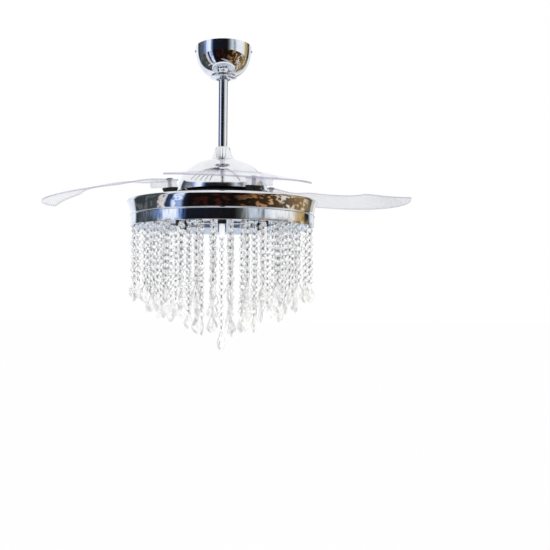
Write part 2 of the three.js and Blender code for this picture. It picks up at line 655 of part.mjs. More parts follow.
// A closed tube of that radius round a list of points, with flat ends square to its run.
function roundTube(points, radius, sides) {
  const positions = [];
  const faces = [];
  points.forEach((point, i) => {
    const before = points[Math.max(0, i - 1)];
    const after = points[Math.min(points.length - 1, i + 1)];
    const along = after.clone().sub(before).normalize();
    const across = new THREE.Vector3(0, 0, 1).cross(along).normalize();
    const up = along.clone().cross(across);
    for (let k = 0; k < sides; k++) {
      const a = (k / sides) * 2 * Math.PI;
      const corner = point
        .clone()
        .addScaledVector(across, radius * Math.cos(a))
        .addScaledVector(up, radius * Math.sin(a));
      positions.push(...corner.toArray());
    }
    if (i > 0) {
      for (let k = 0; k < sides; k++) {
        const [a, b] = [(i - 1) * sides + k, (i - 1) * sides + ((k + 1) % sides)];
        faces.push(a, b, b + sides, a, b + sides, a + sides);
      }
    }
  });
  const last = (points.length - 1) * sides;
  for (let k = 1; k < sides - 1; k++) faces.push(0, k + 1, k, last, last + k, last + k + 1);
  return new THREE.BufferGeometry()
    .setAttribute("position", new THREE.Float32BufferAttribute(positions, 3))
    .setIndex(faces);
}

// The torsion spring round a bolt, inside the swivel's skirt.
function returnSpring() {
  const stepsPerTurn = 7;
  const low = padTop + SEAT_GAP + SPRING_WIRE_RADIUS;
  const high = swivelUnder - SEAT_GAP - SPRING_WIRE_RADIUS;
  const steps = SPRING_TURNS * stepsPerTurn;
  const points = Array.from({ length: steps + 1 }, (_, i) => {
    const a = (i / stepsPerTurn) * 2 * Math.PI;
    return new THREE.Vector3(
      SPRING_COIL_RADIUS * Math.cos(a), SPRING_COIL_RADIUS * Math.sin(a), lerp(low, high, i / steps),
    );
  });
  return roundTube(points, SPRING_WIRE_RADIUS, 4);
}

// The folded blade's inner and outer radius at an angle from its pivot, in degrees.
function bladeEdges(angle) {
  const rootInner = PIVOT_RADIUS - BLADE_ROOT_RADIUS;
  const rootOuter = PIVOT_RADIUS + BLADE_ROOT_RADIUS;
  if (angle < 0) {
    const half = BLADE_ROOT_RADIUS * Math.sqrt(Math.max(0.03, 1 - (angle / bladeRootAngle) ** 2));
    return [PIVOT_RADIUS - half, PIVOT_RADIUS + half];
  }
  const outerRise = smooth(angle / BLADE_SHOULDER_ANGLE);
  const outer = lerp(rootOuter, bladeOuterRadius, outerRise);
  const corner = bladeInnerRadius + BLADE_CORNER_LIFT;
  if (angle > BLADE_CORNER_ANGLE) {
    const t = (angle - BLADE_CORNER_ANGLE) / (BLADE_TIP_ANGLE - BLADE_CORNER_ANGLE);
    return [lerp(corner, outer - BLADE_TIP_WIDTH, t), outer];
  }
  const settle = smooth(angle / BLADE_SHOULDER_ANGLE);
  const lift = smooth((angle - BLADE_SHOULDER_ANGLE) / (BLADE_CORNER_ANGLE - BLADE_SHOULDER_ANGLE));
  return [lerp(rootInner, bladeInnerRadius, settle) + BLADE_CORNER_LIFT * lift, outer];
}

const bladeRootAngle = (-BLADE_ROOT_RADIUS / PIVOT_RADIUS) * (180 / Math.PI);
const bladeInnerRadius = DOME_RADIUS + BLADE_DOME_CLEARANCE;
const bladeOuterRadius = RING_RADIUS - BLADE_RIM_SETBACK;
const bladeMiddleRadius = (bladeInnerRadius + bladeOuterRadius) / 2;

// Height of the blade's middle above the plane square to its pivot.
function bladeLift(radius, angle) {
  const grown = smooth((angle - BLADE_FLAT_ANGLE) / (BLADE_SHOULDER_ANGLE - BLADE_FLAT_ANGLE));
  const along = Math.max(0, angle) / BLADE_TIP_ANGLE;
  return -BLADE_CONE_SLOPE * (radius - bladeMiddleRadius) * grown - BLADE_DROOP * along ** 1.5;
}

// The clear blade in its pivot's frame, folded: it leaves its pivot along -Y, clockwise round
// the fan's axis. The bolt's hole runs through its root and the boss under it.
function blade() {
  const across = 3;
  const angles = [bladeRootAngle, 0.75 * bladeRootAngle, 0.4 * bladeRootAngle];
  for (let a = 0; a < BLADE_CORNER_ANGLE; a += BLADE_CORNER_ANGLE / 14) angles.push(a);
  for (let i = 0; i <= 4; i++) angles.push(lerp(BLADE_CORNER_ANGLE, BLADE_TIP_ANGLE, i / 4));
  const positions = [];
  const faces = [];
  const side = across + 1;
  for (const face of [1, -1]) {
    for (const angle of angles) {
      const [inner, outer] = bladeEdges(angle);
      for (let j = 0; j < side; j++) {
        const radius = lerp(inner, outer, j / across);
        positions.push(
          (radius * Math.cos(rad(angle)) - PIVOT_RADIUS) / Math.cos(rad(PIVOT_TILT)),
          -radius * Math.sin(rad(angle)),
          bladeLift(radius, angle) + (face * BLADE_THICKNESS) / 2,
        );
      }
    }
  }
  const layer = angles.length * side;
  for (let i = 0; i + 1 < angles.length; i++) {
    for (let j = 0; j < across; j++) {
      const [a, b] = [i * side + j, (i + 1) * side + j];
      faces.push(a, a + 1, b + 1, a, b + 1, b);
      faces.push(layer + a, layer + b + 1, layer + a + 1, layer + a, layer + b, layer + b + 1);
    }
  }
  const rim = [];
  for (let j = 0; j < across; j++) rim.push(j);
  for (let i = 0; i + 1 < angles.length; i++) rim.push(i * side + across);
  for (let j = across; j > 0; j--) rim.push((angles.length - 1) * side + j);
  for (let i = angles.length - 1; i > 0; i--) rim.push(i * side);
  rim.forEach((a, k) => {
    const b = rim[(k + 1) % rim.length];
    faces.push(a, layer + a, layer + b, a, layer + b, b);
  });
  const sheet = new THREE.BufferGeometry()
    .setAttribute("position", new THREE.Float32BufferAttribute(positions, 3))
    .setIndex(faces);
  const hub = post(BLADE_HUB_RADIUS, hubFoot, 0);
  const rib = block(BLADE_RIB_WIDTH, BLADE_RIB_LENGTH, -hubFoot, 0, -BLADE_RIB_LENGTH / 2, hubFoot / 2);
  return cut(join(sheet, hub, rib), post(boltBore, hubFoot - EXTRA, rootTop + EXTRA));
}

// ---------------------------------------------------------------- lamp ring

// The upper band flares out towards the rim, more steeply the higher it goes.
const bandRadiusAt = (z) =>
  lerp(RING_WAIST_RADIUS, RING_RADIUS, ((z - ringUpperFootZ) / RING_UPPER_HEIGHT) ** RING_FLARE_POWER);

function ringUpperBand() {
  const steps = 4;
  const outer = [[RING_RADIUS - RING_LIP, ringTopZ], [RING_RADIUS, ringTopZ]];
  for (let i = 1; i <= steps; i++) {
    const z = lerp(ringTopZ - RING_LIP, ringUpperFootZ + SEAT_GAP, (i - 1) / (steps - 1));
    outer.push([bandRadiusAt(z), z]);
  }
  const inner = outer.slice(2).map(([r, z]) => [r - RING_WALL, z]);
  inner.unshift([RING_RADIUS - RING_LIP, ringTopZ - RING_WALL]);
  return turned(wallOutline(outer, inner), FINE);
}

function ringLowerBand() {
  const inner = RING_WAIST_RADIUS - RING_WALL;
  const lipInner = inner - PLATE_LIP_WIDTH;
  const beadFoot = ringUpperFootZ - RING_BEAD_HEIGHT;
  const beadRadius = RING_WAIST_RADIUS + RING_BEAD_DEPTH;
  const lipTop = plateLipZ + RING_WALL;
  return turned(
    [
      [inner, ringUpperFootZ], [beadRadius - RING_BEAD_CHAMFER, ringUpperFootZ],
      [beadRadius, (ringUpperFootZ + beadFoot) / 2], [beadRadius - RING_BEAD_CHAMFER, beadFoot],
      [RING_WAIST_RADIUS, beadFoot - RING_BEAD_CHAMFER], [RING_WAIST_RADIUS, ringLowerFootZ],
      [inner, ringLowerFootZ], [inner, plateLipZ], [lipInner, plateLipZ], [lipInner, lipTop],
      [inner, lipTop], [inner, ringUpperFootZ],
    ],
    FINE,
  );
}

const trayRadius = bandRadiusAt(trayLowZ) - RING_WALL - 2 * SEAT_GAP;
const trayPan = () => ringWall(SHAFT_RADIUS + SEAT_GAP, trayRadius, trayLowZ, trayTopZ, FINE);

const shaftNut = () =>
  cut(
    post(NUT_RADIUS, nutLowZ, trayLowZ - SEAT_GAP, 6),
    post(SHAFT_RADIUS + SEAT_GAP, nutLowZ - EXTRA, trayLowZ + EXTRA),
  );

const lampDriver = () =>
  block(
    DRIVER_LENGTH, DRIVER_WIDTH, DRIVER_HEIGHT,
    NUT_RADIUS + DRIVER_CLEARANCE + DRIVER_LENGTH / 2, 0, trayLowZ - SEAT_GAP - DRIVER_HEIGHT / 2,
  );

const crystalPlate = () =>
  turned(
    [
      [0, plateLowZ], [RING_WAIST_RADIUS - RING_WALL - SEAT_GAP, plateLowZ],
      [RING_WAIST_RADIUS - RING_WALL - SEAT_GAP, plateTopZ], [0, plateTopZ],
    ],
    FINE,
  );

// ---------------------------------------------------------------- lamps

const socketTop = plateLowZ - SEAT_GAP;
const socketFoot = socketTop - SOCKET_HEIGHT;
const socketFloor = socketFoot + SOCKET_BORE_DEPTH;
const onLampCircle = (geometry, i) =>
  geometry.translate(LAMP_CIRCLE_RADIUS, 0, 0).rotateZ(rad(FIRST_LAMP_AZIMUTH + (360 / LAMP_COUNT) * i));

const lampSocket = () =>
  turned(
    [
      [0, socketTop], [SOCKET_RADIUS, socketTop], [SOCKET_RADIUS, socketFoot + SOCKET_CHAMFER],
      [SOCKET_RADIUS - SOCKET_CHAMFER, socketFoot], [SOCKET_BORE_RADIUS, socketFoot],
      [SOCKET_BORE_RADIUS, socketFloor], [0, socketFloor],
    ],
    TINY,
  );

function bulb() {
  const top = socketFloor - SEAT_GAP;
  const tip = top - BULB_LENGTH;
  const shoulder = socketFoot - EXTRA;
  const round = [0.5, 0.87].map((t) => [
    BULB_RADIUS * Math.sqrt(1 - t * t), tip + BULB_RADIUS * (1 - t),
  ]);
  return turned(
    [
      [0, top], [BULB_BASE_RADIUS, top], [BULB_BASE_RADIUS, shoulder],
      [BULB_RADIUS, shoulder - BULB_SHOULDER], [BULB_RADIUS, tip + BULB_RADIUS], ...round, [0, tip],
    ],
    TINY,
  );
}

// ---------------------------------------------------------------- crystal strands

const railTop = plateLowZ - SEAT_GAP;

// A string of beads drawn as one bar, with its flat faceted pendant.
function strand(x, y, yaw, bottomZ, pendantHeight, pendantRadius) {
  const neckZ = bottomZ + pendantHeight;
  const sections = [
    [railTop - RAIL_SIZE - HOOK_LENGTH, BEAD_HALF_WIDTH, BEAD_HALF_DEPTH],
    [neckZ, PENDANT_NECK, PENDANT_NECK],
    [neckZ - PENDANT_BELLY * pendantHeight, pendantRadius, PENDANT_HALF_DEPTH],
  ];
  const positions = [0, 0, railTop - RAIL_SIZE / 2];
  const faces = [];
  sections.forEach(([z, halfWidth, halfDepth], i) => {
    positions.push(halfWidth, 0, z, 0, halfDepth, z, -halfWidth, 0, z, 0, -halfDepth, z);
    for (let k = 0; k < 4; k++) {
      const [a, b] = [1 + i * 4 + k, 1 + i * 4 + ((k + 1) % 4)];
      if (i === 0) faces.push(0, a, b);
      else faces.push(a - 4, b, b - 4, a - 4, a, b);
    }
  });
  positions.push(0, 0, bottomZ);
  const last = 1 + (sections.length - 1) * 4;
  for (let k = 0; k < 4; k++) faces.push(last + 4, last + ((k + 1) % 4), last + k);
  return new THREE.BufferGeometry()
    .setAttribute("position", new THREE.Float32BufferAttribute(positions, 3))
    .setIndex(faces)
    .rotateZ(yaw)
    .translate(x, y, 0);
}

// The circles' radii: every spacing from the ring's wall inwards, but for the lamps' circle.
const edgeRadius = RING_WAIST_RADIUS - RING_WALL - STRAND_CLEARANCE - BEAD_HALF_WIDTH;
function circleRadii() {
  const radii = [];
  for (let r = edgeRadius; r > CIRCLE_SPACING; r -= CIRCLE_SPACING) {
    if (Math.abs(r - LAMP_CIRCLE_RADIUS) > CIRCLE_SPACING / 2) radii.push(r);
  }
  return radii;
}

// A straight rail between two points under the plate, run on past each by half its width.
function rail([x0, y0], [x1, y1]) {
  const length = Math.hypot(x1 - x0, y1 - y0) + RAIL_SIZE;
  return block(length, RAIL_SIZE, RAIL_SIZE, 0, 0, railTop - RAIL_SIZE / 2)
    .rotateZ(Math.atan2(y1 - y0, x1 - x0))
    .translate((x0 + x1) / 2, (y0 + y1) / 2, 0);
}

const onCircle = (radius, angle) => [radius * Math.cos(angle), radius * Math.sin(angle)];

// A sector's strands on one circle, each with its angle from the sector's middle.
function strandsInSector(radius, sector) {
  const perSector = Math.max(1, Math.round((2 * Math.PI * radius) / LAMP_COUNT / STRAND_PITCH));
  return Array.from({ length: perSector }, (_, i) => ({
    index: sector * perSector + i,
    offset: ((i + 0.5) / perSector - 0.5) * ((2 * Math.PI) / LAMP_COUNT),
  }));
}

// The strands between two neighbouring lamps, on their hook rails: a radial bar and an arc for each
// circle. The first sector's bar also carries the strand in the middle.
function crystalSector(sector) {
  const middle = rad(FIRST_LAMP_AZIMUTH + (360 / LAMP_COUNT) * (sector + 0.5));
  const radii = circleRadii();
  const innermost = sector === 0 ? 0 : radii[radii.length - 1];
  const parts = [rail(onCircle(innermost, middle), onCircle(edgeRadius, middle))];
  radii.forEach((radius) => {
    const inwards = 1 - (radius / edgeRadius) ** 2;
    const length = lerp(EDGE_LENGTH, INNER_LENGTH, inwards);
    const pendantRadius = lerp(EDGE_PENDANT_RADIUS, INNER_PENDANT_RADIUS, inwards);
    const strands = strandsInSector(radius, sector);
    strands.forEach(({ index, offset }) => {
      const [x, y] = onCircle(radius, middle + offset);
      const bottomZ = railTop - length + (index % 2 ? STRAND_STAGGER : 0);
      const yaw = middle + offset + rad(STRAND_YAW_STEP * index);
      parts.push(strand(x, y, yaw, bottomZ, PENDANT_HEIGHT, pendantRadius));
    });
    const corners = [...new Set([0, ...strands.map(({ offset }) => offset)])].sort((a, b) => a - b);
    for (let k = 1; k < corners.length; k++) {
      parts.push(rail(onCircle(radius, middle + corners[k - 1]), onCircle(radius, middle + corners[k])));
    }
  });
  if (sector === 0) {
    const yaw = rad(STRAND_YAW_STEP);
    parts.push(
      strand(0, 0, yaw, railTop - CENTRE_LENGTH, CENTRE_PENDANT_HEIGHT, CENTRE_PENDANT_RADIUS),
    );
  }
  return join(...parts);
}

// ---------------------------------------------------------------- assembly

const fan = new THREE.Group();

function addCeilingFitting(parent) {
  named("hanger_bracket", hangerBracket(), zincSteel, parent);
  named("canopy", canopy(), chrome, parent);
  named("canopy_screw_1", canopyScrew(1), chrome, parent);
  named("canopy_screw_2", canopyScrew(-1), chrome, parent);
  named("canopy_trim_ring", canopyTrimRing(), chrome, parent);
  named("receiver_box", receiverBox(), whitePlastic, parent);
}

function addHangingColumn(parent) {
  named("hanger_ball", hangerBall(), blackNylon, parent);
  named("ball_cross_pin", crossPin(CROSS_PIN_LENGTH, pinZ), zincSteel, parent);
  named("downrod", downrod(), chrome, parent);
  named("motor_yoke", motorYoke(), castAluminium, parent);
  named("yoke_pin", crossPin(2 * (yokeOuter + YOKE_PIN_REACH), yokePinZ), zincSteel, parent);
  named("yoke_cover", yokeCover(), chrome, parent);
  named("dome_cover", domeCover(), chrome, parent);
}

function addMotor(parent) {
  named("motor_shaft", motorShaft(), zincSteel, parent);
  named("stator_core", statorCore(), copperWinding, parent);
  named("upper_bearing", upperBearing(), springSteel, parent);
  named("lower_bearing", lowerBearing(), springSteel, parent);
  named("rotor_upper_bell", upperBell(), castAluminium, parent);
  named("rotor_lower_bell", lowerBell(), blackEnamel, parent);
}

function addBlades(parent) {
  named("blade_carrier", bladeCarrier(), blackEnamel, parent);
  for (let i = 0; i < BLADE_COUNT; i++) {
    const { turn, frame } = pivotFrame(i);
    const fold = new THREE.Group();
    fold.name = `fold_${i + 1}`;
    fold.rotation.z = rad(OPEN_ANGLE);
    frame.add(fold);
    parent.add(turn);
    named(`pivot_bolt_${i + 1}`, pivotBolt(), zincSteel, frame);
    named(`return_spring_${i + 1}`, returnSpring(), springSteel, frame);
    named(`swivel_bracket_${i + 1}`, swivelBracket(), blackNylon, fold);
    named(`blade_${i + 1}`, blade(), clearAcrylic, fold);
  }
}

function addLampRing(parent) {
  named("shaft_nut", shaftNut(), zincSteel, parent);
  named("tray_pan", trayPan(), mirrorSteel, parent);
  named("ring_upper_band", ringUpperBand(), chrome, parent);
  named("ring_lower_band", ringLowerBand(), chrome, parent);
  named("lamp_driver", lampDriver(), whitePlastic, parent);
  named("crystal_plate", crystalPlate(), mirrorSteel, parent);
  for (let i = 0; i < LAMP_COUNT; i++) {
    named(`lamp_socket_${i + 1}`, onLampCircle(lampSocket(), i), blackPhenolic, parent);
    named(`bulb_${i + 1}`, onLampCircle(bulb(), i), bulbGlass, parent);
  }
}

function addCrystals(parent) {
  for (let i = 0; i < LAMP_COUNT; i++) {
    named(`crystal_sector_${i + 1}`, crystalSector(i), crystalGlass, parent);
  }
}

addCeilingFitting(fan);
addHangingColumn(fan);
addMotor(fan);
addBlades(fan);
addLampRing(fan);
addCrystals(fan);

export default fan;
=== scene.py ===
"""Ceiling fan with four clear folding blades over a polished lamp ring hung with crystal strands."""

import logging
import math
from contextlib import contextmanager
from dataclasses import dataclass, field
from enum import Enum
from typing import Callable, Iterable, Iterator, Sequence

import bmesh
import bpy
from mathutils import Matrix, Vector


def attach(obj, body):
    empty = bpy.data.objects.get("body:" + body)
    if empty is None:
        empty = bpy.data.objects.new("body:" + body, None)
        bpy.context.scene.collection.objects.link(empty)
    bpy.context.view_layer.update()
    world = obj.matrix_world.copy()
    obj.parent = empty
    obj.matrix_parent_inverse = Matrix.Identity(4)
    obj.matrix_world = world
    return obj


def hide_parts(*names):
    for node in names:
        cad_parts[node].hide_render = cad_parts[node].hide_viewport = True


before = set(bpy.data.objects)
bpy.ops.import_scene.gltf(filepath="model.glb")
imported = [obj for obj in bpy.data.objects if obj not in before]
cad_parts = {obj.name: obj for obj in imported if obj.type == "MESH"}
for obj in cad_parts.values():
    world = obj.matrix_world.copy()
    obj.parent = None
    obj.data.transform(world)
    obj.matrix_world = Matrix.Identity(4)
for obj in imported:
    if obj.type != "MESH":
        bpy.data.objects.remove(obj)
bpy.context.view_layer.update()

logging.basicConfig(level=logging.INFO, format="%(message)s")
log = logging.getLogger("fan")

MM = 0.001
Profile = list[tuple[float, float]]


class Body(Enum):
    """The moving bodies of the fan."""

    MOUNT = "ceiling_mount"
    COLUMN = "hanging_column"
    ROTOR = "rotor"


# ------------------------------------------------------------------ small helpers


def lerp(a: float, b: float, t: float) -> float:
    """Straight mix of two values."""
    return a + (b - a) * t


def smooth(t: float) -> float:
    """Smooth step from 0 to 1."""
    c = min(1.0, max(0.0, t))
    return c * c * (3 - 2 * c)


def scatter(index: int, spread: float) -> float:
    """A fixed, uneven number for an index.

    Args:
        index: Which number of the series.
        spread: Half the width of the range.

    Returns:
        A value between minus spread and plus spread.
    """
    turn = math.sin(index * 12.9898 + 4.1414) * 43758.5453
    return spread * (2 * (turn - math.floor(turn)) - 1)


def linear(code: str, alpha: float = 1.0) -> tuple[float, float, float, float]:
    """Turns a written sRGB colour into the linear one that shaders take.

    Args:
        code: Six hexadecimal digits.
        alpha: Opacity to append.

    Returns:
        Linear red, green, blue and alpha.
    """
    parts = [int(code[i:i + 2], 16) / 255 for i in (0, 2, 4)]
    r, g, b = [c / 12.92 if c <= 0.04045 else ((c + 0.055) / 1.055) ** 2.4 for c in parts]
    return (r, g, b, alpha)


def select_only(piece: bpy.types.Object) -> None:
    """Makes one object the only selected one, and the active one."""
    bpy.ops.object.select_all(action="DESELECT")
    piece.select_set(True)
    bpy.context.view_layer.objects.active = piece


@contextmanager
def editing(piece: bpy.types.Object, kind: str = "VERT") -> Iterator[None]:
    """Edit mode on one object, left again at the end.

    Args:
        piece: The object to edit.
        kind: VERT, EDGE or FACE.

    Yields:
        Nothing; the mesh operators act on the piece meanwhile.
    """
    select_only(piece)
    bpy.ops.object.mode_set(mode="EDIT")
    bpy.ops.mesh.select_mode(type=kind)
    yield
    bpy.ops.object.mode_set(mode="OBJECT")


@contextmanager
def editing_faces(piece: bpy.types.Object,
                  wanted: Callable[[bpy.types.MeshPolygon], bool]) -> Iterator[None]:
    """Edit mode with some faces selected.

    Args:
        piece: The object to edit.
        wanted: Says of a face whether it is selected.

    Yields:
        Nothing; the mesh operators act on those faces meanwhile.
    """
    with editing(piece, "FACE"):
        bpy.ops.mesh.select_all(action="DESELECT")
        bpy.ops.object.mode_set(mode="OBJECT")
        for face in piece.data.polygons:
            face.select = wanted(face)
        bpy.ops.object.mode_set(mode="EDIT")
        yield


def added(operator: Callable, **settings: object) -> bpy.types.Object:
    """Adds one primitive with nothing else selected.

    Args:
        operator: The primitive's operator.
        **settings: The operator's settings.

    Returns:
        The new object.
    """
    bpy.ops.object.select_all(action="DESELECT")
    operator(**settings)
    return bpy.context.object


def settle(piece: bpy.types.Object) -> bpy.types.Object:
    """Moves an object's place and turn into its mesh."""
    select_only(piece)
    bpy.ops.object.transform_apply(location=True, rotation=True, scale=True)
    return piece


def moved(piece: bpy.types.Object, matrix: Matrix) -> bpy.types.Object:
    """Moves a mesh by a matrix and leaves its object at the origin."""
    piece.data.transform(matrix)
    piece.data.update()
    return piece


def copied(piece: bpy.types.Object, name: str) -> bpy.types.Object:
    """A second object with its own mesh."""
    twin = piece.copy()
    twin.data = piece.data.copy()
    twin.name = name
    bpy.context.scene.collection.objects.link(twin)
    return twin


def joined(pieces: Sequence[bpy.types.Object], name: str) -> bpy.types.Object:
    """Several objects made one.

    Args:
        pieces: The objects; the first one keeps its materials' order.
        name: Name of the result.

    Returns:
        The joined object.
    """
    bpy.ops.object.select_all(action="DESELECT")
    for piece in pieces:
        piece.select_set(True)
    bpy.context.view_layer.objects.active = pieces[0]
    bpy.ops.object.join()
    pieces[0].name = name
    return pieces[0]


def smoothed(piece: bpy.types.Object, degrees: float = 32.0) -> bpy.types.Object:
    """Smooth shading, apart from edges sharper than an angle."""
    select_only(piece)
    bpy.ops.object.shade_smooth_by_angle(angle=math.radians(degrees))
    return piece


def applied(piece: bpy.types.Object, kind: str, **settings: object) -> bpy.types.Object:
    """Adds one modifier and applies it.

    Args:
        piece: The object.
        kind: The modifier's type.
        **settings: Its properties.

    Returns:
        The same object.
    """
    select_only(piece)
    modifier = piece.modifiers.new(kind.title(), kind)
    for key, value in settings.items():
        setattr(modifier, key, value)
    bpy.ops.object.modifier_apply(modifier=modifier.name)
    return piece


def combined(piece: bpy.types.Object, tool: bpy.types.Object, operation: str) -> bpy.types.Object:
    """Joins a tool to a piece or cuts it away, and deletes the tool.

    Args:
        piece: The object that stays.
        tool: The object that is used up.
        operation: UNION or DIFFERENCE.

    Returns:
        The changed piece.
    """
    applied(piece, "BOOLEAN", object=tool, operation=operation, solver="EXACT")
    bpy.data.objects.remove(tool)
    return piece


def spun(name: str, profile: Profile, steps: int = 96, degrees: float = 32.0) -> bpy.types.Object:
    """Turns an outline about the vertical axis.

    Args:
        name: Name of the piece.
        profile: Pairs of radius and height in mm; a ring's outline closes on its first pair.
        steps: Faces round the turn.
        degrees: Edges sharper than this stay sharp.

    Returns:
        The turned piece.
    """
    piece = added(bpy.ops.mesh.primitive_plane_add, size=MM)
    piece.name = name
    with editing(piece):
        bpy.ops.mesh.select_all(action="SELECT")
        bpy.ops.mesh.merge(type="CENTER")
        bpy.ops.transform.translate(value=(profile[0][0] * MM, 0, profile[0][1] * MM))
        for (r0, z0), (r1, z1) in zip(profile, profile[1:]):
            step = ((r1 - r0) * MM, 0, (z1 - z0) * MM)
            bpy.ops.mesh.extrude_region_move(TRANSFORM_OT_translate={"value": step})
        bpy.ops.mesh.select_all(action="SELECT")
        bpy.ops.mesh.spin(steps=steps, angle=2 * math.pi, center=(0, 0, 0), axis=(0, 0, 1))
        bpy.ops.mesh.select_all(action="SELECT")
        bpy.ops.mesh.remove_doubles(threshold=0.01 * MM)
        bpy.ops.mesh.normals_make_consistent(inside=False)
    return smoothed(piece, degrees)


def shell(outer: Profile, wall: float) -> Profile:
    """The closed outline of a wall of even thickness.

    Args:
        outer: The outer run in mm, from the top down.
        wall: Thickness in mm, laid inwards.

    Returns:
        The outline, closed on its first point.
    """
    inner: Profile = []
    for i, (r, z) in enumerate(outer):
        before = outer[max(0, i - 1)]
        after = outer[min(len(outer) - 1, i + 1)]
        dr, dz = after[0] - before[0], after[1] - before[1]
        size = math.hypot(dr, dz)
        inner.append((r + wall * dz / size, z - wall * dr / size))
    return outer + inner[::-1] + outer[:1]


def arc(centre: tuple[float, float], radius: float, start: float, end: float, steps: int) -> Profile:
    """Points of an arc in the radius and height plane, angles in degrees from outwards, up positive."""
    angles = [math.radians(lerp(start, end, i / steps)) for i in range(steps + 1)]
    return [(centre[0] + radius * math.cos(a), centre[1] + radius * math.sin(a)) for a in angles]


# ------------------------------------------------------------------ finishes


def add_node(tree: bpy.types.NodeTree, kind: str, settings: dict | None = None,
             links: dict | None = None) -> bpy.types.Node:
    """Adds one shader node.

    Args:
        tree: The node tree.
        kind: The node's type.
        settings: Values for its inputs, or for its own properties.
        links: Output sockets to lead into its inputs.

    Returns:
        The new node.
    """
    node = tree.nodes.new(kind)
    for key, value in (settings or {}).items():
        if isinstance(key, str) and hasattr(node, key):
            setattr(node, key, value)
        else:
            node.inputs[key].default_value = value
    for key, source in (links or {}).items():
        tree.links.new(source, node.inputs[key])
    return node


def blank_material(name: str) -> tuple[bpy.types.Material, bpy.types.NodeTree, bpy.types.NodeSocket]:
    """An empty node material.

    Args:
        name: Name of the material.

    Returns:
        The material, its tree, and its output's surface socket.
    """
    material = bpy.data.materials.new(name)
    material.use_nodes = True
    tree = material.node_tree
    tree.nodes.clear()
    output = add_node(tree, "ShaderNodeOutputMaterial")
    return material, tree, output.inputs["Surface"]


def noise(tree: bpy.types.NodeTree, size_mm: float, detail: float = 3.0,
          stretch: tuple[float, float, float] = (1, 1, 1)) -> bpy.types.NodeSocket:
    """Noise on object coordinates.

    Args:
        tree: The node tree.
        size_mm: Width of its blotches in mm.
        detail: Octaves.
        stretch: How much longer the blotches are along each axis.

    Returns:
        The noise's factor socket.
    """
    place = add_node(tree, "ShaderNodeTexCoord")
    scaled = add_node(tree, "ShaderNodeMapping", {"Scale": tuple(1 / s for s in stretch)},
                      {"Vector": place.outputs["Object"]})
    texture = add_node(tree, "ShaderNodeTexNoise", {"Scale": 1000 / size_mm, "Detail": detail},
                       {"Vector": scaled.outputs["Vector"]})
    return texture.outputs["Fac"]


def ranged(tree: bpy.types.NodeTree, source: bpy.types.NodeSocket, low: float, high: float,
           start: float = 0.3, end: float = 0.7) -> bpy.types.NodeSocket:
    """Leads a factor between two values.

    Args:
        tree: The node tree.
        source: The factor.
        low: Value at the factor's start.
        high: Value at its end.
        start: Factor that gives low.
        end: Factor that gives high.

    Returns:
        The mapped value.
    """
    node = add_node(tree, "ShaderNodeMapRange",
                    {1: start, 2: end, 3: low, 4: high}, {0: source})
    return node.outputs[0]


def blended(tree: bpy.types.NodeTree, source: bpy.types.NodeSocket,
            *stops: tuple[float, str]) -> bpy.types.NodeSocket:
    """Colour that runs through written colours with a factor.

    Args:
        tree: The node tree.
        source: The factor.
        *stops: Pairs of a factor and the colour there, in rising order.

    Returns:
        The colour.
    """
    node = add_node(tree, "ShaderNodeValToRGB", {}, {"Fac": source})
    elements = node.color_ramp.elements
    elements.remove(elements[1])
    elements[0].position, elements[0].color = stops[0][0], linear(stops[0][1])
    for position, colour in stops[1:]:
        elements.new(position).color = linear(colour)
    return node.outputs["Color"]


@dataclass(frozen=True)
class Metal:
    """A bare, plated or brushed metal with faint haze and waviness."""

    name: str
    light: str
    dark: str
    clean: float
    hazy: float
    haze_mm: float = 60.0
    ripple_mm: float = 45.0
    ripple: float = 0.0
    grain_mm: float = 0.6
    grain: float = 0.0
    stretch: tuple[float, float, float] = (1, 1, 1)

    def build(self) -> bpy.types.Material:
        """Builds the node material."""
        material, tree, surface = blank_material(self.name)
        haze = noise(tree, self.haze_mm)
        waves = add_node(tree, "ShaderNodeBump", {"Strength": 1.0, "Distance": self.ripple * MM},
                         {"Height": noise(tree, self.ripple_mm, 1.0)})
        grain = add_node(tree, "ShaderNodeBump", {"Strength": 1.0, "Distance": self.grain * MM},
                         {"Height": noise(tree, self.grain_mm, 2.0, self.stretch),
                          "Normal": waves.outputs["Normal"]})
        shader = add_node(tree, "ShaderNodeBsdfPrincipled", {"Metallic": 1.0}, {
            "Base Color": blended(tree, noise(tree, self.haze_mm * 0.7),
                                  (0.35, self.dark), (0.65, self.light)),
            "Roughness": ranged(tree, haze, self.clean, self.hazy),
            "Normal": grain.outputs["Normal"],
        })
        tree.links.new(shader.outputs["BSDF"], surface)
        return material


@dataclass(frozen=True)
class Plastic:
    """Moulded plastic, enamel or frosted glass with a fine texture, lit from within where wanted."""

    name: str
    light: str
    dark: str
    clean: float
    worn: float
    texture_mm: float = 0.8
    texture: float = 0.02
    lit: float = 0.0

    def build(self) -> bpy.types.Material:
        """Builds the node material."""
        material, tree, surface = blank_material(self.name)
        bump = add_node(tree, "ShaderNodeBump", {"Strength": 1.0, "Distance": self.texture * MM},
                        {"Height": noise(tree, self.texture_mm, 2.0)})
        shader = add_node(tree, "ShaderNodeBsdfPrincipled", {
            "Emission Color": linear(self.light), "Emission Strength": self.lit,
        }, {
            "Base Color": blended(tree, noise(tree, 14.0), (0.35, self.dark), (0.65, self.light)),
            "Roughness": ranged(tree, noise(tree, 25.0), self.clean, self.worn),
            "Normal": bump.outputs["Normal"],
        })
        tree.links.new(shader.outputs["BSDF"], surface)
        return material


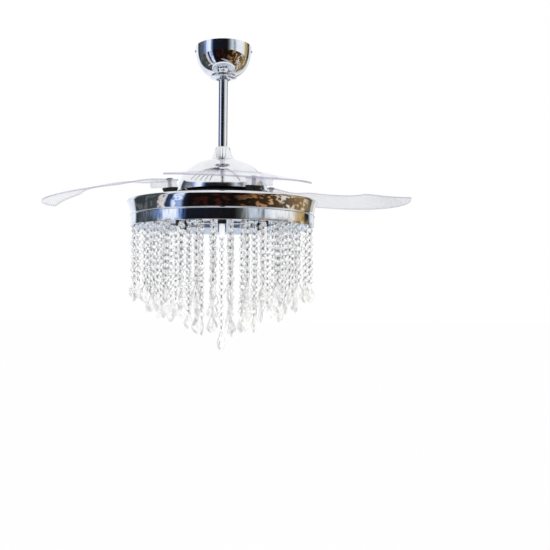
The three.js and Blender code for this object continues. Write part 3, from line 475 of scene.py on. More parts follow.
@dataclass(frozen=True)
class Glass:
    """A clear solid with dusty patches, greyed where it is seen edge on: a painted shade for the dark
    things its edges bend in.
    """

    name: str
    tint: str
    edge: str
    bend: float
    cover: float = 1.0
    edge_shade_start: float = 0.6
    clean: float = 0.0
    dusty: float = 0.05
    lit: float = 0.0

    def build(self) -> bpy.types.Material:
        """Builds the node material."""
        material, tree, surface = blank_material(self.name)
        slant = add_node(tree, "ShaderNodeLayerWeight", {"Blend": 0.5})
        shader = add_node(tree, "ShaderNodeBsdfPrincipled", {
            "Transmission Weight": 1.0, "IOR": self.bend, "Alpha": self.cover,
            "Emission Color": linear(self.tint), "Emission Strength": self.lit,
        }, {
            # The tint turns to the edge colour where the surface is seen edge on: painted shade.
            "Base Color": blended(tree, slant.outputs["Facing"], (self.edge_shade_start, self.tint),
                                  (1.0, self.edge)),
            "Roughness": ranged(tree, noise(tree, 30.0), self.clean, self.dusty, 0.5, 0.8),
        })
        tree.links.new(shader.outputs["BSDF"], surface)
        return material


@dataclass(frozen=True)
class ClearSheet:
    """Thin clear sheet: see-through, with a faint tint that grows where it is seen edge on."""

    name: str
    light: str
    dark: str
    body: float
    slanted: float
    slant_start: float = 0.5
    roughness: float = 0.04

    def build(self) -> bpy.types.Material:
        """Builds the node material."""
        material, tree, surface = blank_material(self.name)
        slant = add_node(tree, "ShaderNodeLayerWeight", {"Blend": 0.5})
        cover = ranged(tree, slant.outputs["Facing"], self.body, self.slanted, self.slant_start, 1.0)
        shader = add_node(tree, "ShaderNodeBsdfPrincipled", {"IOR": 1.49, "Roughness": self.roughness}, {
            "Base Color": blended(tree, noise(tree, 70.0, 2.0), (0.35, self.dark), (0.65, self.light)),
            "Alpha": cover,
        })
        tree.links.new(shader.outputs["BSDF"], surface)
        return material


@dataclass(frozen=True)
class Winding:
    """Enamelled copper wire, wound in rows, with painted shade in the grooves between turns and a painted
    highlight on their crowns.
    """

    name: str
    light: str
    dark: str
    wire_mm: float = 1.1

    def build(self) -> bpy.types.Material:
        """Builds the node material."""
        material, tree, surface = blank_material(self.name)
        place = add_node(tree, "ShaderNodeTexCoord")
        rows = add_node(tree, "ShaderNodeTexWave",
                        {"wave_type": "RINGS", "rings_direction": "Z", "Scale": 160 / self.wire_mm},
                        {"Vector": place.outputs["Object"]})
        bump = add_node(tree, "ShaderNodeBump", {"Strength": 1.0, "Distance": 0.3 * MM},
                        {"Height": rows.outputs["Fac"]})
        shader = add_node(tree, "ShaderNodeBsdfPrincipled", {"Metallic": 0.8, "Roughness": 0.4}, {
            # Colour follows the rows: painted shade in the grooves, painted highlight on the crowns.
            "Base Color": blended(tree, rows.outputs["Fac"], (0.35, self.dark), (0.65, self.light)),
            "Normal": bump.outputs["Normal"],
        })
        tree.links.new(shader.outputs["BSDF"], surface)
        return material


class Finish(Enum):
    """Every finish on the fan, under the record's slot name."""

    # Chrome plate on polished steel: a near perfect mirror, soft waves and faint wipe haze.
    MIRROR_CHROME = ("chrome", Metal("mirror_chrome", "edf0f4", "e3e7ec", 0.02, 0.07, ripple=0.05))
    # Chrome plate on drawn tube and cast fittings: bright, with a slightly softer mirror image.
    BRIGHT_CHROME = ("chrome", Metal("bright_chrome", "eff1f4", "e6e8ec", 0.08, 0.16, ripple=0.04))
    # Rolled stainless sheet: a blurred, cool mirror with rolling waves.
    MIRROR_SHEET = ("mirror_steel", Metal("mirror_sheet", "dfe6f1", "d4dce9", 0.22, 0.34, ripple=0.05))
    # Zinc plated steel: dull grey with a fine spangle.
    ZINC = ("zinc_steel", Metal("zinc_plate", "b4b6b8", "9a9da1", 0.28, 0.42, 12.0,
                                grain_mm=0.8, grain=0.03))
    # Drawn spring steel: darker grey with a tight shine along the wire.
    SPRING = ("spring_steel", Metal("spring_steel", "9c9fa3", "85888c", 0.2, 0.34, 10.0,
                                    grain_mm=0.3, grain=0.01))
    # Die cast aluminium: pale, matt and faintly pebbled.
    CAST = ("cast_aluminium", Metal("cast_aluminium", "bcbfc2", "a6a9ad", 0.36, 0.5, 20.0,
                                    grain_mm=1.4, grain=0.12))
    # Enamelled copper wire: red-brown rows, painted darker in the grooves and lighter on the crowns as
    # shade and highlight, with a lacquer shine.
    WINDING = ("winding", Winding("copper_winding", "b0703c", "5c2c12"))
    # Baked black enamel: satin black with a light orange peel, drawn coarser than real to show.
    ENAMEL = ("black_enamel", Plastic("black_enamel", "1d1e20", "131416", 0.28, 0.42, 1.2, 0.03))
    # Moulded black nylon: matt black with a fine grain, drawn coarser than real to show.
    NYLON = ("black_nylon", Plastic("black_nylon", "1f1f21", "161617", 0.42, 0.56, 0.7, 0.03))
    # Moulded black phenolic: dense black with a harder shine than nylon.
    PHENOLIC = ("black_phenolic", Plastic("black_phenolic", "151515", "0c0c0c", 0.2, 0.34, 0.9, 0.015))
    # Moulded ABS: off-white and matt.
    WHITE = ("white_plastic", Plastic("white_plastic", "e6e6e2", "dcdcd6", 0.45, 0.58, 0.7, 0.03))
    # The hoop's chrome inner side, drawn as a pale, satin non-metal: its pale, cool colour is a painted
    # reflection of the white room, and it is faintly lit itself, an even, cool painted glow that stands
    # for the lamps' light there. It keeps the hoop's chrome slot.
    PAINTED_INNER_GLOW = ("chrome", Plastic("painted_inner_glow", "dae5f5", "cedbee", 0.3, 0.4, 2.0, 0.01, 0.4))
    # Clear acrylic sheet: see-through, faintly lilac, more of a body where it turns away.
    ACRYLIC = ("clear_acrylic", ClearSheet("clear_acrylic", "f2f1f8", "e4e2ee", 0.2, 0.42))
    # The sheet's cut rim, which gathers light: a fine lilac-grey line round each blade.
    ACRYLIC_EDGE = ("clear_acrylic", ClearSheet("acrylic_edge", "b4adc6", "9d95b1", 0.5, 0.75))
    # Cut glass: sharp facets that bend the white room and its dark edges into sparks. Part of the
    # light goes straight through, as the many walls in a row would otherwise turn it grey, and a faint
    # painted glow stands for the lamps' light that the facets pass on. Its colour greys where a facet
    # is seen edge on: a painted shade for the dark room that the bevels bend in.
    CRYSTAL = ("crystal", Glass("cut_crystal", "ffffff", "dfe3e8", 1.52, 0.48, 0.75, lit=0.055))
    # Oxidised steel wire: the dark specks between the beads.
    DARK_WIRE = ("crystal", Metal("dark_wire", "2e2f32", "17181a", 0.25, 0.38, 10.0))
    # Frosted lamp glass, lit: a soft white without a hot spot.
    BULB = ("bulb_glass", Plastic("frosted_glass", "ffffff", "fbfaf6", 0.1, 0.2, 2.0, 0.005, 0.45))

    @property
    def slot(self) -> str:
        """The record's material slot."""
        return self.value[0]

    @property
    def material(self) -> bpy.types.Material:
        """The material, built when first asked for."""
        made = bpy.data.materials.get(self.value[1].name)
        return made if made else self.value[1].build()


def paint(piece: bpy.types.Object, finish: Finish) -> None:
    """Gives a piece one finish all over."""
    piece.data.materials.clear()
    piece.data.materials.append(finish.material)


def place(piece: bpy.types.Object, body: str, finish: Finish, *nodes: str) -> bpy.types.Object:
    """Puts a finished piece on its body.

    Args:
        piece: The piece.
        body: The body that it rides on.
        finish: Its finish.
        *nodes: The plain solids that it stands for.

    Returns:
        The piece.
    """
    if not piece.data.materials:
        paint(piece, finish)
    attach(piece, body)
    if nodes:
        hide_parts(*nodes)
    log.info("%s on %s: %d faces", piece.name, body, len(piece.data.polygons))
    return piece


def dress(finish: Finish, *nodes: str) -> None:
    """Gives plain solids that stay in view a finish."""
    for name in nodes:
        paint(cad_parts[name], finish)
        log.info("%s dressed in %s", name, finish.name.lower())


# ------------------------------------------------------------------ ceiling fitting


@dataclass
class CeilingFitting:
    """Bracket, bowl canopy, its screws and the collar round the rod."""

    radius: float = 73.0
    depth: float = 84.0
    fullness: float = 2.6
    wall: float = 1.5
    opening: float = 30.0
    top: float = -0.3
    screw_z: float = -10.0
    trim_drop: float = 7.0

    @property
    def bottom(self) -> float:
        """Height of the bowl's opening."""
        return -self.depth * (1 - (self.opening / self.radius) ** 2) ** (1 / self.fullness)

    def canopy(self) -> bpy.types.Object:
        """Models the bowl with its rolled rim."""
        steps = 30
        outer: Profile = [(self.radius, self.top)]
        for i in range(1, steps + 1):
            z = lerp(self.top, self.bottom, math.sin((i / steps) * math.pi / 2))
            r = self.radius * math.sqrt(1 - (-z / self.depth) ** self.fullness)
            outer.append((r if i < steps else self.opening, z))
        bowl = spun("canopy_bowl", shell(outer, self.wall), 128)
        drill = settle(added(
            bpy.ops.mesh.primitive_cylinder_add,
            vertices=24, radius=2.8 * MM, depth=4 * self.radius * MM,
            location=(0, 0, self.screw_z * MM), rotation=(0, math.pi / 2, 0)))
        combined(bowl, drill, "DIFFERENCE")
        return smoothed(bowl)

    def screw(self, side: int) -> bpy.types.Object:
        """Models one round-headed canopy screw with a cross recess.

        Args:
            side: 1 for the right side, -1 for the left.

        Returns:
            The screw.
        """
        face = self.radius + 0.3
        head = [(0, face + 3.0)] + [(4.6 * math.sin(a), face + 0.6 + 2.4 * math.cos(a))
                                    for a in [math.radians(x) for x in (25, 45, 65, 80)]]
        profile = head + [(5.0, face), (2.5, face), (2.5, 58.5), (0, 57.5)]
        screw = spun(f"canopy_screw_head_{1 if side > 0 else 2}", profile, 32)
        for turn in (0, math.pi / 2):
            blade = added(
                bpy.ops.mesh.primitive_cube_add,
                size=1, location=(0, 0, (face + 2.6) * MM), rotation=(0, 0, turn))
            blade.scale = (5.4 * MM, 1.0 * MM, 2.4 * MM)
            settle(blade)
            combined(screw, blade, "DIFFERENCE")
        lie = Matrix.Rotation(math.radians(90 if side > 0 else -90), 4, "Y")
        moved(screw, Matrix.Translation((0, 0, self.screw_z * MM)) @ lie)
        return smoothed(screw)

    def collar(self) -> bpy.types.Object:
        """Models the dished collar in the canopy's opening."""
        flange = self.bottom - 0.6
        low = self.bottom - self.trim_drop
        profile: Profile = [(29.7, flange + 9), (29.7, flange)]
        profile += arc((34.2, flange - 0.9), 0.8, 90, -60, 6)
        profile += [(30.5, flange - 3.0), (25.5, low + 1.6)]
        profile += arc((19.6, low + 1.9), 1.9, -80, -180, 6)
        profile += [(18.3, low + 3.4), (22.5, low + 3.6), (27.7, flange - 1.6), (27.7, flange + 9)]
        return spun("canopy_collar", profile + profile[:1], 96)

    def build(self) -> None:
        """Models and places the fitting."""
        body = Body.MOUNT.value
        place(self.canopy(), body, Finish.MIRROR_CHROME, "canopy")
        place(self.collar(), body, Finish.MIRROR_CHROME, "canopy_trim_ring")
        place(self.screw(1), body, Finish.BRIGHT_CHROME, "canopy_screw_1")
        place(self.screw(-1), body, Finish.BRIGHT_CHROME, "canopy_screw_2")
        dress(Finish.ZINC, "hanger_bracket")
        dress(Finish.WHITE, "receiver_box")


# ------------------------------------------------------------------ rod, cone and dome


@dataclass
class HangingColumn:
    """Rod, coupling cone and dome; the ball, pins and yoke stay plain solids with a finish."""

    rod_radius: float = 12.5
    rod_wall: float = 2.0
    rod_foot: float = -300.0
    rod_top: float = -22.0
    cone_top: float = -264.0
    cone_foot: float = -296.7
    cone_radii: tuple[float, float] = (19.5, 31.5)
    dome_top: float = -297.0
    dome_base: float = -382.0
    dome_radius: float = 119.0
    dome_top_radius: float = 31.0
    sheet: float = 1.2

    def rod(self) -> bpy.types.Object:
        """Models the tube."""
        outer, inner = self.rod_radius, self.rod_radius - self.rod_wall
        profile = [(outer - 0.4, self.rod_top), (outer, self.rod_top - 0.4), (outer, self.rod_foot + 0.4),
                   (outer - 0.4, self.rod_foot), (inner, self.rod_foot), (inner, self.rod_top),
                   (outer - 0.4, self.rod_top)]
        return spun("downrod_tube", profile, 64)

    def cone(self) -> bpy.types.Object:
        """Models the flared cover over the coupling."""
        top, foot = self.cone_radii
        steps = 16
        outer: Profile = [(13.1, self.cone_top)]
        outer += arc((top - 1.2, self.cone_top - 1.2), 1.2, 90, 10, 5)
        for i in range(1, steps + 1):
            t = i / steps
            radius = lerp(top, foot, lerp(t, t ** 3, 0.45))
            outer.append((radius, lerp(self.cone_top - 1.2, self.cone_foot, t)))
        return spun("coupling_cone", shell(outer, self.sheet), 96)

    def dome(self) -> bpy.types.Object:
        """Models the dome, half an ellipse with a flat crown and a rolled edge."""
        steep = math.acos(self.dome_top_radius / self.dome_radius)
        half = (self.dome_top - self.dome_base) / math.sin(steep)
        outer: Profile = [(17.0, self.dome_top)]
        steps = 36
        for i in range(steps + 1):
            a = steep * (1 - i / steps)
            outer.append((self.dome_radius * math.cos(a), self.dome_base + half * math.sin(a)))
        return spun("dome_shell", shell(outer, self.sheet), 144)

    def build(self) -> None:
        """Models and places the column."""
        body = Body.COLUMN.value
        place(self.rod(), body, Finish.BRIGHT_CHROME, "downrod")
        place(self.cone(), body, Finish.BRIGHT_CHROME, "yoke_cover")
        place(self.dome(), body, Finish.BRIGHT_CHROME, "dome_cover")
        dress(Finish.NYLON, "hanger_ball")
        dress(Finish.ZINC, "ball_cross_pin", "yoke_pin", "motor_shaft")
        dress(Finish.CAST, "motor_yoke")


# ------------------------------------------------------------------ motor and blade carrier


@dataclass
class Motor:
    """The motor inside the dome, its dark rim and the blade carrier."""

    top: float = -328.0
    split: float = -362.0
    bottom: float = -397.7
    radius: float = 81.0
    inner: float = 78.0
    hub_bore: float = 22.3
    hub_outer: float = 26.0
    rim_radius: float = 108.0
    rim_top: float = -384.5
    rim_foot: float = -387.5

    def upper_bell(self) -> bpy.types.Object:
        """Models the upper half of the motor's case with cooling ribs."""
        outer: Profile = [(self.hub_bore, self.top), (30, self.top), (32, self.top)]
        outer += arc((self.radius - 5, self.top - 5), 5, 90, 0, 8)
        z = self.top - 8
        while z > self.split + 5:
            outer += [(self.radius, z), (self.radius - 1.2, z - 0.8), (self.radius - 1.2, z - 2.2),
                      (self.radius, z - 3.0)]
            z -= 5
        outer += [(self.radius, self.split + 0.3), (self.inner, self.split + 0.3),
                  (self.inner, self.top - 3), (self.hub_outer, self.top - 3),
                  (self.hub_outer, self.top - 11), (self.hub_bore, self.top - 11)]
        return spun("motor_upper_case", outer + outer[:1], 96)

    def lower_bell(self) -> bpy.types.Object:
        """Models the lower half of the case with the dark rim that closes the dome."""
        profile: Profile = [(self.hub_bore, self.bottom)]
        profile += arc((self.radius - 1.5, self.bottom + 1.5), 1.5, -90, 0, 5)
        profile += [(self.radius, self.rim_foot)]
        profile += arc((self.rim_radius - 1.0, self.rim_foot + 1.0), 1.0, -90, 0, 5)
        profile += arc((self.rim_radius - 1.0, self.rim_top - 1.0), 1.0, 0, 90, 5)
        profile += [(self.radius, self.rim_top), (self.radius, self.split), (self.inner, self.split),
                    (self.inner, self.bottom + 3), (self.hub_outer, self.bottom + 3),
                    (self.hub_outer, self.bottom + 11), (self.hub_bore, self.bottom + 11)]
        return spun("motor_lower_case", profile + profile[:1], 128)

    def build(self) -> None:
        """Models and places the motor."""
        place(self.upper_bell(), Body.ROTOR.value, Finish.CAST, "rotor_upper_bell")
        place(self.lower_bell(), Body.ROTOR.value, Finish.ENAMEL, "rotor_lower_bell")
        dress(Finish.WINDING, "stator_core")
        dress(Finish.SPRING, "upper_bearing", "lower_bearing")
        dress(Finish.ENAMEL, "blade_carrier")


# ------------------------------------------------------------------ blades


@dataclass
class BladeSet:
    """Four clear blades on leaning pivots, with their caps, bolts and springs."""

    count: int = 4
    first_azimuth: float = 300.0
    pivot_radius: float = 155.0
    pivot_z: float = -364.0
    lean: float = 6.5
    open_angle: float = 103.0
    thickness: float = 3.6
    root_radius: float = 22.0
    inner_radius: float = 128.0
    outer_radius: float = 243.0
    shoulder: float = 48.0
    corner: float = 126.0
    corner_lift: float = 8.0
    tip: float = 152.0
    tip_width: float = 5.0
    slope: float = 0.14
    flat_angle: float = 20.0
    droop: float = 14.0
    boss_radius: float = 19.0
    boss_height: float = 16.0
    rib_length: float = 58.0
    rib_width: float = 26.0
    bore: float = 5.3
    gap: float = 0.3

    @property
    def root_angle(self) -> float:
        """Where the round root begins, in degrees behind the pivot."""
        return -math.degrees(self.root_radius / self.pivot_radius)

    @property
    def boss_foot(self) -> float:
        """Height of the boss's foot along the pivot."""
        return -self.thickness / 2 - self.boss_height

    def pivot(self, index: int) -> Matrix:
        """The place of one pivot, Z along its axis and X away from the fan's axis."""
        turn = Matrix.Rotation(math.radians(self.first_azimuth + 360 / self.count * index), 4, "Z")
        lift = Matrix.Translation((self.pivot_radius * MM, 0, self.pivot_z * MM))
        return turn @ lift @ Matrix.Rotation(math.radians(self.lean), 4, "Y")

    def inner_edge(self, angle: float) -> float:
        """Radius of the folded blade's inner edge at an angle from its pivot."""
        settled = smooth(angle / self.shoulder)
        start = self.pivot_radius - self.root_radius
        run = smooth((angle - self.shoulder) / (self.corner - self.shoulder))
        along = lerp(start, self.inner_radius, settled) + self.corner_lift * run
        if angle <= self.corner:
            return along
        t = (angle - self.corner) / (self.tip - self.corner)
        return lerp(self.inner_radius + self.corner_lift, self.outer_radius - self.tip_width, t)

    def edges(self, angle: float) -> tuple[float, float]:
        """Inner and outer radius of the folded blade.

        Args:
            angle: Degrees from the pivot, round the fan's axis.

        Returns:
            The two radii in mm.
        """
        if angle < 0:
            half = self.root_radius * math.sqrt(max(0.004, 1 - (angle / self.root_angle) ** 2))
            return self.pivot_radius - half, self.pivot_radius + half
        outer = lerp(self.pivot_radius + self.root_radius, self.outer_radius, smooth(angle / self.shoulder))
        near = min(6.0, angle / 2, self.tip - angle)
        steps = [self.inner_edge(angle + near * k / 3) for k in range(-3, 4)]
        return sum(steps) / len(steps), outer

    def surface(self, angle: float, across: float) -> Vector:
        """A point of the blade's middle surface in its pivot's frame, folded.

        Args:
            angle: Degrees from the pivot.
            across: 0 at the inner edge to 1 at the outer edge.

        Returns:
            The point in metres.
        """
        inner, outer = self.edges(angle)
        radius = lerp(inner, outer, across)
        grown = smooth((angle - self.flat_angle) / (self.shoulder - self.flat_angle))
        middle = (self.inner_radius + self.outer_radius) / 2
        z = -self.slope * (radius - middle) * grown - self.droop * (max(0.0, angle) / self.tip) ** 1.5
        turn = math.radians(angle)
        x = (radius * math.cos(turn) - self.pivot_radius) / math.cos(math.radians(self.lean))
        return Vector((x, -radius * math.sin(turn), z)) * MM

    def sheet(self) -> bpy.types.Object:
        """Models the blade's curved plate."""
        along, across = 108, 16
        plate = added(
            bpy.ops.mesh.primitive_grid_add,
            x_subdivisions=along, y_subdivisions=across, size=1)
        for vertex in plate.data.vertices:
            u, v = vertex.co.x + 0.5, vertex.co.y + 0.5
            behind = 1 - math.cos(min(1.0, u * 9) * math.pi / 2)
            angle = self.root_angle * (1 - behind) if u < 1 / 9 else lerp(0, self.tip, (u - 1 / 9) * 9 / 8)
            vertex.co = self.surface(angle, 0.5 - 0.5 * math.cos(v * math.pi) * 0.985)
        with editing(plate):
            bpy.ops.mesh.select_all(action="SELECT")
            bpy.ops.mesh.normals_make_consistent(inside=False)
        applied(plate, "SOLIDIFY", thickness=self.thickness * MM, offset=0.0, use_even_offset=True)
        applied(plate, "BEVEL", width=1.1 * MM, segments=3, limit_method="ANGLE",
                angle_limit=math.radians(50))
        return plate

    def boss(self) -> bpy.types.Object:
        """Models the clear boss and the block that runs out from it under the blade."""
        height = -self.boss_foot
        post = settle(added(
            bpy.ops.mesh.primitive_cylinder_add,
            vertices=64, radius=self.boss_radius * MM, depth=height * MM,
            location=(0, 0, self.boss_foot / 2 * MM)))
        block = added(
            bpy.ops.mesh.primitive_cube_add,
            size=1, location=(0, -self.rib_length / 2 * MM, self.boss_foot / 2 * MM))
        block.scale = (self.rib_width * MM, self.rib_length * MM, height * MM)
        settle(block)
        with editing(block):
            bpy.ops.mesh.select_all(action="DESELECT")
            bpy.ops.object.mode_set(mode="OBJECT")
            for edge in block.data.edges:
                ends = [block.data.vertices[k].co for k in edge.vertices]
                upright = abs(ends[0].z - ends[1].z) > 1 * MM
                edge.select = upright and min(e.y for e in ends) < -1 * MM
            bpy.ops.object.mode_set(mode="EDIT")
            bpy.ops.mesh.select_mode(type="EDGE")
            bpy.ops.mesh.bevel(offset=9 * MM, segments=8)
        combined(post, block, "UNION")
        applied(post, "BEVEL", width=1.0 * MM, segments=2, limit_method="ANGLE",
                angle_limit=math.radians(50))
        return post

    def blade(self) -> bpy.types.Object:
        """Models one whole blade in its pivot's frame, folded."""
        plate = self.sheet()
        boss = self.boss()
        combined(plate, boss, "UNION")
        drill = settle(added(
            bpy.ops.mesh.primitive_cylinder_add,
            vertices=48, radius=self.bore * MM, depth=80 * MM))
        combined(plate, drill, "DIFFERENCE")
        return smoothed(self.edged(plate), 34)

    def edged(self, plate: bpy.types.Object) -> bpy.types.Object:
        """Gives the blade's narrow polished edge its deeper tint."""
        paint(plate, Finish.ACRYLIC)
        plate.data.materials.append(Finish.ACRYLIC_EDGE.material)
        near = (self.rib_length + 4) * MM
        for face in plate.data.polygons:
            on_sheet = face.center.length > near or abs(face.center.z) < 0.62 * self.thickness * MM
            face.material_index = 1 if on_sheet and abs(face.normal.z) < 0.7 else 0
        return plate

    def cap(self) -> bpy.types.Object:
        """Models the black turning cap over the spring, with finger ribs on its edge."""
        top = self.boss_foot - self.gap
        under, foot = top - 5, top - 12
        profile: Profile = [(self.bore, top)]
        profile += arc((18.8, top - 1.2), 1.2, 90, 0, 5) + arc((18.8, under + 1.2), 1.2, 0, -60, 4)
        profile += [(18.0, under - 0.6), (18.0, foot + 0.6), (17.4, foot), (15.5, foot), (15.5, under),
                    (self.bore, under), (self.bore, top)]
        return spun("turning_cap", profile, 64)

    def bolt(self) -> bpy.types.Object:
        """Models the pivot bolt with its washer, hexagon head and threaded end."""
        under = self.thickness / 2 + self.gap
        foot = self.boss_foot - self.gap - 12 - self.gap - 6 - 2
        head = settle(added(
            bpy.ops.mesh.primitive_cylinder_add,
            vertices=6, radius=8.6 * MM, depth=3.2 * MM, location=(0, 0, (under + 2.4) * MM)))
        with editing_faces(head, lambda face: face.normal.z > 0.9):
            bpy.ops.mesh.inset(thickness=1.6 * MM, depth=0)
            bpy.ops.mesh.extrude_region_move(TRANSFORM_OT_translate={"value": (0, 0, -0.7 * MM)})
        applied(head, "BEVEL", width=0.5 * MM, segments=2, limit_method="ANGLE",
                angle_limit=math.radians(40))
        profile: Profile = [(0, under + 0.9), (10, under + 0.9), (10, under), (5, under)]
        z = foot + 8.0
        profile += [(5, z)]
        while z > foot + 1.2:
            profile += [(4.3, z - 0.5), (5, z - 1.0)]
            z -= 1.0
        profile += [(4.2, foot), (0, foot)]
        shank = spun("pivot_shank", profile, 32)
        return smoothed(joined([shank, head], "pivot_bolt"))

    def build(self) -> None:
        """Models one of each piece and places its copies on the four arms."""
        blade, cap, bolt = self.blade(), self.cap(), self.bolt()
        opened = Matrix.Rotation(math.radians(self.open_angle), 4, "Z")
        for i in range(self.count):
            arm = f"blade_arm_{i + 1}"
            wing = moved(copied(blade, f"clear_blade_{i + 1}"), self.pivot(i) @ opened)
            place(wing, arm, Finish.ACRYLIC, f"blade_{i + 1}")
            hood = moved(copied(cap, f"turning_cap_{i + 1}"), self.pivot(i) @ opened)
            place(hood, arm, Finish.NYLON, f"swivel_bracket_{i + 1}")
            pin = moved(copied(bolt, f"hex_bolt_{i + 1}"), self.pivot(i))
            place(pin, Body.ROTOR.value, Finish.ZINC, f"pivot_bolt_{i + 1}")
            dress(Finish.SPRING, f"return_spring_{i + 1}")
        for master in (blade, cap, bolt):
            bpy.data.objects.remove(master)


# ------------------------------------------------------------------ lamp ring


@dataclass
class LampRing:
    """The two polished bands, the floor plates, the sockets and the lamps."""

    rim: float = -410.0
    waist: float = -446.0
    foot: float = -476.0
    radius: float = 250.0
    waist_radius: float = 240.5
    flare: float = 2.2
    wall: float = 1.6
    bead: float = 2.1
    lip_z: float = -451.0
    lip_width: float = 12.0
    lamp_circle: float = 124.0
    first_lamp: float = 270.0
    lamps: int = 6
    socket_top: float = -453.1
    socket_foot: float = -477.1
    bulb_top: float = -465.4
    bulb_length: float = 44.0

    def upper_band(self) -> bpy.types.Object:
        """Models the flared band with its rolled rim."""
        steps = 18
        outer: Profile = [(self.radius - 4.0, self.rim - 1.6)]
        outer += arc((self.radius - 1.7, self.rim - 1.7), 1.7, 150, 0, 8)
        for i in range(1, steps + 1):
            z = lerp(self.rim - 2.2, self.waist + 0.3, i / steps)
            t = (z - self.waist) / (self.rim - self.waist)
            outer.append((lerp(self.waist_radius, self.radius, t ** self.flare), z))
        inner = [(r - self.wall, z) for r, z in outer[10:]]
        inner = [(self.radius - 4.0, self.rim - 3.0)] + inner
        return spun("ring_flared_band", outer + inner[::-1] + outer[:1], 192)

    def lower_band(self) -> bpy.types.Object:
        """Models the plain band with the bead over it and the lip that carries the plate."""
        inner = self.waist_radius - self.wall
        middle = self.waist - 1.75
        profile: Profile = [(inner, self.waist)]
        profile += arc((self.waist_radius, middle), 1.75, 90, 60, 2)
        profile += arc((self.waist_radius + 0.35, middle), 1.75, 50, -50, 8)
        profile += arc((self.waist_radius, middle), 1.75, -70, -90, 2)
        profile += [(self.waist_radius, self.foot + 0.5), (self.waist_radius - 0.4, self.foot),
                    (inner + 0.4, self.foot), (inner, self.foot + 0.4), (inner, self.lip_z),
                    (inner - self.lip_width, self.lip_z), (inner - self.lip_width, self.lip_z + self.wall),
                    (inner, self.lip_z + self.wall), (inner, self.waist)]
        return spun("ring_lower_hoop", profile, 192)

    def with_inner_glow(self, band: bpy.types.Object) -> bpy.types.Object:
        """Gives the inner side of a band its pale finish: a painted reflection of the white room and a
        painted glow for the lamps' light.
        """
        paint(band, Finish.MIRROR_CHROME)
        band.data.materials.append(Finish.PAINTED_INNER_GLOW.material)
        # Inner faces: the pale colour is a painted reflection, and the faint emission is a painted glow for
        # the lamps.
        for face in band.data.polygons:
            spot = Vector((face.center.x, face.center.y, 0))
            if spot.length < (self.waist_radius - self.wall / 2) * MM:
                face.material_index = 1
        return band

    def socket(self) -> bpy.types.Object:
        """Models a ribbed black lamp socket on its spring clip."""
        profile: Profile = [(0, self.socket_top), (9.5, self.socket_top), (9.5, self.socket_top - 3)]
        z = self.socket_top - 3
        for _ in range(4):
            profile += [(11.5, z - 0.5), (11.5, z - 3.0), (10.4, z - 3.5), (10.4, z - 4.3)]
            z -= 4.3
        profile += [(11.5, z - 0.6), (11.5, self.socket_foot + 1.2), (10.6, self.socket_foot),
                    (8.9, self.socket_foot), (8.5, self.socket_foot + 0.5),
                    (8.5, self.socket_foot + 12), (0, self.socket_foot + 12)]
        return spun("lamp_socket", profile, 40)

    def bulb(self) -> bpy.types.Object:
        """Models a frosted capsule lamp with its pinched foot."""
        tip = self.bulb_top - self.bulb_length
        outline: Profile = [(0, self.bulb_top), (5.6, self.bulb_top), (6.4, self.bulb_top - 1.0),
                            (6.4, self.socket_foot - 1.0), (7.5, self.socket_foot - 4.5)]
        outline += arc((0, tip + 7.5), 7.5, 0, -90, 8)
        outline[-1] = (0, tip)
        return spun("capsule_lamp", outline, 32)

    def build(self) -> None:
        """Models and places the ring and its lamps."""
        body = Body.COLUMN.value
        place(self.upper_band(), body, Finish.MIRROR_CHROME, "ring_upper_band")
        place(self.with_inner_glow(self.lower_band()), body, Finish.MIRROR_CHROME, "ring_lower_band")
        dress(Finish.MIRROR_SHEET, "tray_pan", "crystal_plate")
        dress(Finish.ZINC, "shaft_nut")
        dress(Finish.WHITE, "lamp_driver")
        socket, bulb = self.socket(), self.bulb()
        for i in range(self.lamps):
            turn = Matrix.Rotation(math.radians(self.first_lamp + 360 / self.lamps * i), 4, "Z")
            spot = turn @ Matrix.Translation((self.lamp_circle * MM, 0, 0))
            place(moved(copied(socket, f"ribbed_socket_{i + 1}"), spot), body, Finish.PHENOLIC,
                  f"lamp_socket_{i + 1}")
            place(moved(copied(bulb, f"capsule_lamp_{i + 1}"), spot), body, Finish.BULB, f"bulb_{i + 1}")
        for master in (socket, bulb):
            bpy.data.objects.remove(master)


# ------------------------------------------------------------------ crystals


